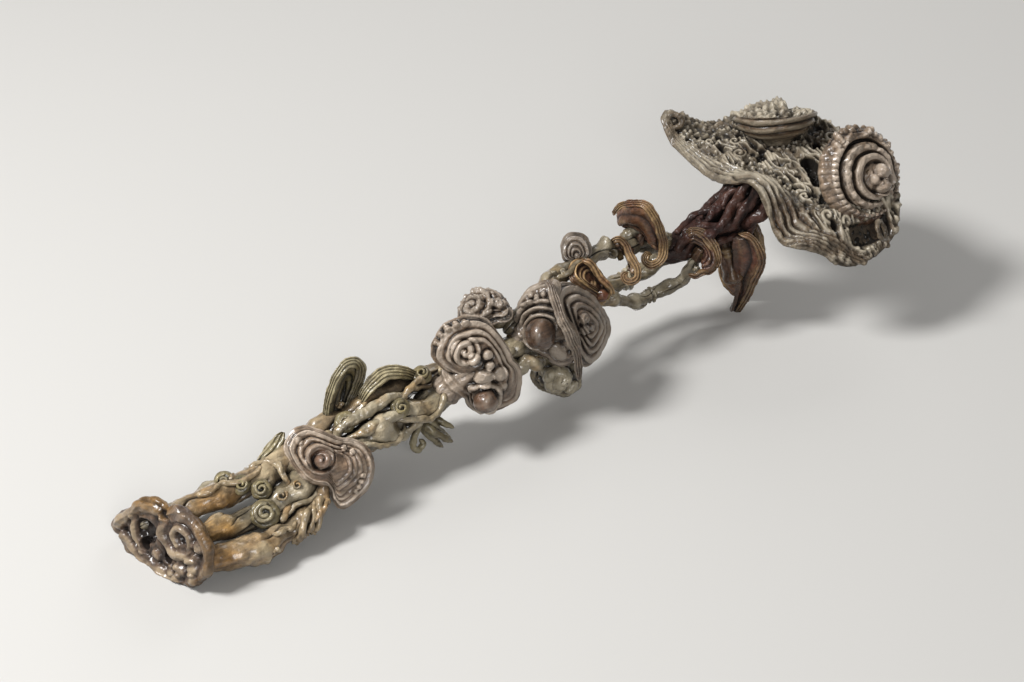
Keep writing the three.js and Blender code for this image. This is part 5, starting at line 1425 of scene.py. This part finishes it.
def head_skin(seed):
    """The cloud-shaped plate over head_height. Folds of drapery run between the near rim
    and their inner end; inside them the face is a crust of ridged noise, grains and
    scrolls, with pits and slots; the rim beyond is beaded."""
    grid = plate_grid(HEAD_OUTLINE, (0, 0), cols=560, top=116, rim=18, under=30, thickness=4)
    x, y = grid.a, grid.b
    thick = 3.4 + 3.6 * ramp(1.0, 0.78, grid.share)
    points = head_point(x, y, -thick * grid.turn)
    start, end = eased(y, DRAPE_ACROSS, DRAPE_RIM), eased(y, DRAPE_ACROSS, DRAPE_END)
    wander = layers(points, seed, ((0.7, 15, 0), (0.3, 6, 12)))
    way_in = (x - start) / (end - start)
    drape = ramp(1.04, 0.88, way_in + 0.12 * lumps(points, 10, seed + 1))
    spacing = (end - start) / 4
    folded = (0.6 + 0.45 * spacing) * (folds(3.4 * way_in + wander, 0.8) - 0.5)
    folded = folded + 0.35 * (folds(9 * way_in + 2.2 * wander) - 0.6)
    bent = np.stack([x / 2.7, y / 7.4, 0 * x], axis=-1) + 0.7 * lumps(points, 10, seed + 2)[..., None]
    wrinkles = 1 - 2.4 * np.abs(lumps(bent, 1, seed + 3))
    granular = ramp(-0.1, 0.3, lumps(points, 14, seed + 5) + 0.9 * ramp(18, 40, y))
    crust = 2.0 * wrinkles * (1 - 0.6 * granular) - 0.3
    crust = crust + 1.7 * (grains(points, 2.5, seed + 4) - 0.4) * granular
    pits = 3.6 * round_spots(x, y, HEAD_PITS, 0.5, 1.1)
    pores = 1.8 * ramp(0.3, 0.1, pebbles(points, 5.5, seed + 6))
    scrolls = sum(2.4 * whorl(x, y, (a, b), r, 1.6) for a, b, r in HEAD_SCROLLS)
    near = round_spots(x, y, HEAD_SCROLLS, 0.7, 1)
    crust = crust * (1 - np.clip(near, 0, 1)) + scrolls - pits - pores
    slots = [ramp(1.1 * half, 0.7 * half, to_line(x, y, line)) for line, half in HEAD_SLOTS]
    sunk = 0.85 * thick * sum(slots)
    beads = (2.0 * grains(points, 4.2, seed + 7, 0.55) - 0.6) * ramp(-22, -12, x)
    beads = beads * ramp(0.9, 0.98, grid.share) * ramp(1, 0.7, grid.turn)
    face = ramp(0.5, 0.05, grid.turn)
    back = ramp(0.65, 1, grid.turn)
    below = layers(points, seed, ((1.2, 8, 8), (0.5, 3, 9)))
    carving = folded * drape + crust * (1 - 0.8 * drape)
    lift = (carving - sunk) * face + below * back + beads + 0.3 * lumps(points, 4, seed + 10)
    # Relief, which sets the dark fill: slots count half again as deep and the underside is lowered, as
    # painted shade in the openings and under the head
    fine = (carving - 1.5 * sunk) * face + (0.5 * below - 0.6) * back + beads
    # Painted shade: the drape's right part, turned from the lamp, takes the dark brown tint and less wear;
    # the underside is tinted brown too
    right = drape * face * ramp(-10, -26, y)
    tone = 0.5 * patched(points, 15, seed + 11, 0, 0.5) + 0.4 * back + 0.6 * right
    return carved(points, lift, fine, tone, wear_and_highlight=0.35 * drape * face * (1 - 0.7 * right), depth=1.6)


def ring_skin(centre, normal, radius, half, seed):
    """A loop: a round rod bent into a circle of that radius about its centre, and closed
    by overlapping its own ends."""
    place = frame_on(centre, normal, (1, 0, 0.1))
    turn = np.linspace(0, TURN * 1.08, 14)
    path = point(place, radius * np.cos(turn), radius * np.sin(turn), 0 * turn)
    points = round_rod(path, half, normal, rows=90, cols=24, nose=half)
    lift = 0.7 * lumps(points, 3, seed)
    return carved(points, lift, lift, tone=0.4, wear_and_highlight=0.1)


BOSS_SEAT = head_point(0.11 * HEAD_LENGTH, 0.175 * HEAD_WIDTH, -1)
BOSS_FRAME = frame_on(BOSS_SEAT, (0.18, 0.37, 0.91), (1, 0, 0))
ROSETTE_SEAT = head_point(0.245 * HEAD_LENGTH, -0.275 * HEAD_WIDTH, 3)
ROSETTE_FRAME = frame_on(ROSETTE_SEAT, (0.05, -0.85, 0.52), (1, 0, 0))
# The boss's profile: shares of its radius and of its height
BOSS_PROFILE = [
    (0, -0.4), (0.44, -0.4), (0.5, -0.18), (0.62, -0.02), (0.78, 0.16), (0.89, 0.34), (0.96, 0.55),
    (1, 0.76), (0.96, 0.88), (0.8, 1.02), (0.5, 1.2), (0, 1.28),
]


def boss_skin(seed):
    """The boss: a profile carried round its frame, a bowl with sweeping rings on its side
    and a top of sharp grains with a notch across it."""
    t = np.linspace(0, 1, 140)
    line = spline(np.array([(r * BOSS_RADIUS, h * BOSS_HEIGHT, 0) for r, h in BOSS_PROFILE]), t)
    r, h, t, angle = np.abs(line[:, :1]), line[:, 1:2], t[:, None], around(250)
    r[[0, -1]] = 0
    points = point(BOSS_FRAME, r * np.cos(angle), r * np.sin(angle), h + 0 * angle)
    crest = ramp(0.66, 0.74, t + 0.02 * lumps(points, 6, seed))
    bowl = ramp(0.2, 0.28, t) * (1 - crest)
    sweep = 0.5 * np.sin(angle + 0.6) + 0.3 * np.sin(2 * angle)
    rings = 1.6 * (folds(3.4 * (t - 0.2) / 0.5 + sweep + 0.15 * lumps(points, 12, seed + 1)) - 0.5) * bowl
    spikes = grains(points, 2.9, seed + 2, 0.62, 1.6)
    small = grains(points, 1.6, seed + 3)
    crust = (2.2 * spikes + 0.9 * small - 1.5 + 2.4 * lumps(points, 8, seed + 4)) * crest
    aside = (points - BOSS_FRAME.origin) @ (0.81, -0.59, 0)
    notch = (3.4 * bell(aside - 6.4, 2.2) + 1.4 * ramp(3, 9, aside)) * crest
    # The bowl is tinted brown and set low in relief, which paints shade under the boss's rim
    tone = 0.85 * bowl + 0.25 * crest * patched(points, 5, seed + 5, 0, 0.5)
    fine = 2.2 * rings - 0.25 * bowl + 0.9 * crust + 0.9 * crest
    return carved(points, rings + crust - notch, fine, tone, wear_and_highlight=crest * (0.45 + 0.55 * spikes), depth=1.6)


# Heights of the rosette's rings, at twenty even steps from its middle to its rim
ROSETTE_RINGS = [
    2.6, 2.6, 2.6, 2.4, 1.8, 1.0, 0.2, -1.0, 1.4, 2.2, 2.0, -1.4, 0.9, 1.4, 1.4, 0.4, -3.6, 0.6, 1.4, 1.2,
    0,
]
ROSETTE_CARVING = dict(
    knobs=[(5.6, 0.8, 3.8, 3.2), (3.6, -6, 3.8, 3.2), (9, -4, 2.6, 1.8), (0.4, -1.4, 2.6, 1.6)],
)
ROSETTE_COLS = 360
ROSETTE_BEADS = 40
ROSETTE_SHADE = 1.05


def rosette_skin(seed):
    """The rosette: a thick plate whose rings lie off centre, with knobs in its middle, a
    crusted upper rim, a comb of ribs inside it and a beaded lower rim."""
    outline = oval(20.5, 20.5, 20.5, (-1.4, 1.8))
    grid = plate_grid(outline, (4.2, -2.2), ROSETTE_COLS, top=118, rim=22, under=24, thickness=5)
    base = 0.45 * ROSETTE_HEIGHT + 3.4 * bell(grid.share, 0.5)
    points = point(ROSETTE_FRAME, grid.a, grid.b, base * (1 - grid.turn) - 0.5 * ROSETTE_HEIGHT * grid.turn)
    face = ramp(0.4, 0.05, grid.turn)
    upper, lower = window(grid.degrees, 5, 135), window(grid.degrees, 135, 365)
    rings = blended(ROSETTE_RINGS, np.clip(grid.share + 0.025 * lumps(points, 9, seed + 3), 0, 1))
    carving = (rings + face_lift(grid, ROSETTE_CARVING)) * face
    edge = ramp(0.84, 0.9, grid.share) * ramp(1, 0.5, grid.turn)
    crust = (2.2 * grains(points, 3.4, seed, 0.62) - 1.0 + 1.2 * lumps(points, 6, seed + 5)) * edge * upper
    ribs = grains(points, 4, seed + 4) - 0.2
    comb = 1.3 * ribs * ramp(0.56, 0.62, grid.share) * ramp(0.78, 0.74, grid.share) * face
    beads = 1.7 * (folds(around(ROSETTE_COLS) / TURN * ROSETTE_BEADS) - 0.5)
    beads = beads * bell(grid.share - 0.93, 0.06) * lower * ramp(1, 0.6, grid.turn)
    wrinkle = layers(points, seed, ((0.65, 4.5, 1), (0.22, 1.8, 2)))
    lift = carving + crust + comb + beads + wrinkle
    below = 0.75 * edge * window(grid.degrees, 205, 305)
    middle = 0.45 * ramp(0.3, 0.16, grid.share) * face
    return carved(points, lift, lift, np.maximum(below, middle), wear_and_highlight=0.3 * face * (1 - edge), depth=1.7)


def stump_skin(seed):
    """The stump that carries the rosette: a lumpy rod from the plate to the rosette's back."""
    back = point(ROSETTE_FRAME, -1, 1, 0)
    foot = head_point(15, -24, -5)
    knots = [foot, (2 * foot + back) / 3 - (0, 0, 1), (foot + 2 * back) / 3, back]
    halves = np.array([(14, 10), (15, 11), (16, 14), (17, 16)], float)
    points = rod_grid(knots, halves, (1, 0, 0), rows=60, cols=110, nose=3)[0]
    lift = layers(points, seed, ((1.4, 6, 0), (0.7, 3, 1)))
    # Its relief is lowered, which darkens it as painted shade behind the rosette
    return carved(points, lift, 0.8 * lift - 0.3, tone=0.3, wear_and_highlight=0.1)


# Settings

def colour_setting(name, hex_colour):
    """A colour of the panel, with its default from a hex value."""
    return FloatVectorProperty(name=name, description=f"Colour of the {name.lower()}", subtype="COLOR",
                               size=3, min=0, max=1, default=linear(hex_colour)[:3])


class RuyiColours(bpy.types.PropertyGroup):
    """Colours of the finishes: each has a body colour and the tint of its second tone."""
    bamboo: colour_setting("Root", "#8f8268")
    bamboo_tint: colour_setting("Root's worn patches", "#aa844e")
    worn: colour_setting("Worn root", "#978162")
    worn_tint: colour_setting("Worn root's ochre", "#aa814c")
    tail: colour_setting("Tail face", "#624f42")
    tail_tint: colour_setting("Tail's gold", "#84643a")
    cap: colour_setting("Cap face", "#806d5a")
    cap_tint: colour_setting("Cap hub", "#543420")
    russet: colour_setting("Underside", "#5a3d2b")
    russet_tint: colour_setting("Underside's red", "#653725")
    # The neck's colours are its dark red, darkened as painted shade from the head above
    neck: colour_setting("Neck", "#2d1712")
    neck_tint: colour_setting("Neck's red", "#3e1d15")
    leaf: colour_setting("Leaf", "#655b48")
    leaf_tint: colour_setting("Leaf's yellow", "#8b7d52")
    # The crust's brown tint also paints shade on the head's right drape and underside and on the boss's
    # bowl
    crust: colour_setting("Crust", "#736756")
    crust_tint: colour_setting("Crust's brown", "#57432f")


class RuyiSizes(bpy.types.PropertyGroup):
    """Sizes of the stage."""
    floor_size: FloatProperty(name="Floor", description="Side of the floor", default=6.0, min=1,
                              unit="LENGTH")
    distance: FloatProperty(name="Camera distance", description="From the camera to its target",
                            default=1.09, min=0.2, unit="LENGTH")


# Operators

# Lamps: place and size in metres, and watts
LAMPS = {
    "key lamp": ((-0.85, 0.3, 1.15), 0.38, 20.5),
    "fill lamp": ((-0.7, -1.3, 0.9), 0.6, 8),
    "rim lamp": ((0.9, 0.6, 0.8), 0.8, 3),
}
WORLD_STRENGTH = 0.18
CAMERA_AZIMUTH, CAMERA_ELEVATION = math.radians(-36), math.radians(36)
# The camera's target in the source's millimetres, and its focal length and sensor
CAMERA_TARGET = np.array([13, 17, 24])
LENS_MM, SENSOR_MM = 85, 36


class RUYI_OT_strands(bpy.types.Operator):
    """Root strands of the handle, the branches and the neck"""
    bl_idname = "ruyi.strands"
    bl_label = "Strands"

    def execute(self, context):
        for k, name in enumerate(STRANDS):
            slot = STRAND_SLOTS.get(name, "bamboo")
            # The neck shares a slot with the undersides but has a finish of its own, darkened as painted
            # shade under the head
            finish = material_of("neck" if name == "neck" else slot)
            skins = strand_skins(name, seed_of("strands", k))
            put(name + "_root", skins, finish, name, STRAND_SHADES.get(name, 1.0))
        return {"FINISHED"}


class RUYI_OT_caps(bpy.types.Operator):
    """Carved fungus caps with their stalks"""
    bl_idname = "ruyi.caps"
    bl_label = "Fungus caps"

    def execute(self, context):
        for k, (name, cap) in enumerate(CAPS.items()):
            skins = cap_skins(name, seed_of("caps", k))
            slot = cap["slot"]
            put(name + "_carving", skins, material_of(slot), name, cap.get("shade", 1.0))
        return {"FINISHED"}


class RUYI_OT_curls(bpy.types.Operator):
    """Snail curls on the handle"""
    bl_idname = "ruyi.curls"
    bl_label = "Curls"

    def execute(self, context):
        for k, name in enumerate(CURLS):
            skins = curl_skins(name, seed_of("curls", k))
            put(name + "_carving", skins, material_of("leaf"), name, CURL_SHADE)
        return {"FINISHED"}


class RUYI_OT_leaves(bpy.types.Operator):
    """Leaves and the tuft of rootlets"""
    bl_idname = "ruyi.leaves"
    bl_label = "Leaves"

    def execute(self, context):
        for k, (name, leaf) in enumerate(LEAVES.items()):
            skins = leaf_skins(name, seed_of("leaves", k))
            put(name + "_carving", skins, material_of("leaf"), name, leaf.get("shade", 1.0))
        tuft = [rootlet_skin(path, seed_of("rootlets", k)) for k, path in enumerate(ROOTLETS)]
        put("root_tuft_carving", tuft, material_of("leaf"), "root_tuft")
        return {"FINISHED"}


class RUYI_OT_tail(bpy.types.Operator):
    """The tail plate"""
    bl_idname = "ruyi.tail"
    bl_label = "Tail plate"

    def execute(self, context):
        skins = [tail_skin(seed_of("tail"))]
        put("tail_plate_carving", skins, material_of("tail"), "tail_plate", TAIL_SHADE)
        return {"FINISHED"}


class RUYI_OT_head(bpy.types.Operator):
    """The cloud-shaped head with its boss and rosette"""
    bl_idname = "ruyi.head"
    bl_label = "Head"

    def execute(self, context):
        rings = [ring_skin(*ring, seed_of("rings", k)) for k, ring in enumerate(HEAD_RINGS)]
        plate = [head_skin(seed_of("head")), *rings]
        boss = [boss_skin(seed_of("boss"))]
        rosette = [rosette_skin(seed_of("rosette")), stump_skin(seed_of("stump"))]
        put("head_plate_carving", plate, material_of("crust"), "head_plate")
        put("head_boss_carving", boss, material_of("crust"), "head_boss")
        put("head_rosette_carving", rosette, material_of("cap"), "head_rosette", ROSETTE_SHADE)
        return {"FINISHED"}


class RUYI_OT_pegs(bpy.types.Operator):
    """Finish of the hidden pegs, which keep their CAD shape"""
    bl_idname = "ruyi.pegs"
    bl_label = "Pegs"

    def execute(self, context):
        pale = linear("#8a6f46")
        # Dowels split from the cane: straw coloured and unpolished
        split = carved_bamboo("Split bamboo", "#453722", pale, "#7a6340", pale, "#a98d60", patch_mm=8,
                              fibre_mm=0.8, roughness=0.55, coat=0.0)
        for name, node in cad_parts.items():
            if name.endswith("_peg"):
                node.data.materials.clear()
                node.data.materials.append(split)
        return {"FINISHED"}


class RUYI_OT_stage(bpy.types.Operator):
    """Floor, lamps and camera"""
    bl_idname = "ruyi.stage"
    bl_label = "Stage"

    def execute(self, context):
        scene = context.scene
        side = scene.ruyi_sizes.floor_size / 2
        mesh = bpy.data.meshes.new("floor")
        corners = [(-side, -side, 0), (side, -side, 0), (side, side, 0), (-side, side, 0)]
        mesh.from_pydata(corners, [], [(0, 1, 2, 3)])
        floor = bpy.data.objects.new("floor", mesh)
        scene.collection.objects.link(floor)
        mesh.materials.append(matt_paper())
        for name, (place, size, watts) in LAMPS.items():
            lamp = bpy.data.lights.new(name, "AREA")
            lamp.shape, lamp.size, lamp.energy = "DISK", size, watts
            holder = bpy.data.objects.new(name, lamp)
            holder.location = place
            holder.rotation_euler = (-Vector(place)).to_track_quat("-Z", "Y").to_euler()
            scene.collection.objects.link(holder)
        world = bpy.data.worlds.new("studio")
        world.use_nodes = True
        sky = world.node_tree.nodes["Background"].inputs
        sky["Color"].default_value = (1, 1, 1, 1)
        sky["Strength"].default_value = WORLD_STRENGTH
        scene.world = world
        scene.view_settings.view_transform = "Standard"
        flat = math.cos(CAMERA_ELEVATION)
        back = Vector((math.sin(CAMERA_AZIMUTH) * flat, -math.cos(CAMERA_AZIMUTH) * flat,
                       math.sin(CAMERA_ELEVATION)))
        target = Vector((CAMERA_TARGET - MIDDLE) * METRES)
        lens = bpy.data.cameras.new("camera")
        lens.lens, lens.sensor_width = LENS_MM, SENSOR_MM
        camera = bpy.data.objects.new("camera", lens)
        camera.location = target + back * scene.ruyi_sizes.distance
        camera.rotation_euler = (-back).to_track_quat("-Z", "Y").to_euler()
        scene.collection.objects.link(camera)
        scene.camera = camera
        return {"FINISHED"}


class RUYI_PT_panel(bpy.types.Panel):
    """Lists the scepter's pieces and settings"""
    bl_idname = "RUYI_PT_panel"
    bl_label = "Bamboo ruyi scepter"
    bl_space_type = "VIEW_3D"
    bl_region_type = "UI"
    bl_category = "Ruyi"

    def draw(self, context):
        for operator in OPERATORS:
            self.layout.operator(operator.bl_idname)
        for group in (context.scene.ruyi_sizes, context.scene.ruyi_colours):
            for key in group.__annotations__:
                self.layout.prop(group, key)


OPERATORS = (RUYI_OT_strands, RUYI_OT_caps, RUYI_OT_curls, RUYI_OT_leaves, RUYI_OT_tail, RUYI_OT_head,
             RUYI_OT_pegs, RUYI_OT_stage)
CLASSES = (RuyiColours, RuyiSizes, *OPERATORS, RUYI_PT_panel)


def register():
    """Registers the classes and puts the settings on the scene."""
    for one in CLASSES:
        bpy.utils.register_class(one)
    bpy.types.Scene.ruyi_colours = PointerProperty(type=RuyiColours)
    bpy.types.Scene.ruyi_sizes = PointerProperty(type=RuyiSizes)


def unregister():
    """Takes the settings and the classes away again."""
    del bpy.types.Scene.ruyi_sizes
    del bpy.types.Scene.ruyi_colours
    for one in reversed(CLASSES):
        bpy.utils.unregister_class(one)


def main():
    register()
    for operator in OPERATORS:
        group, name = operator.bl_idname.split(".")
        getattr(getattr(bpy.ops, group), name)()


if __name__ == "__main__":
    main()
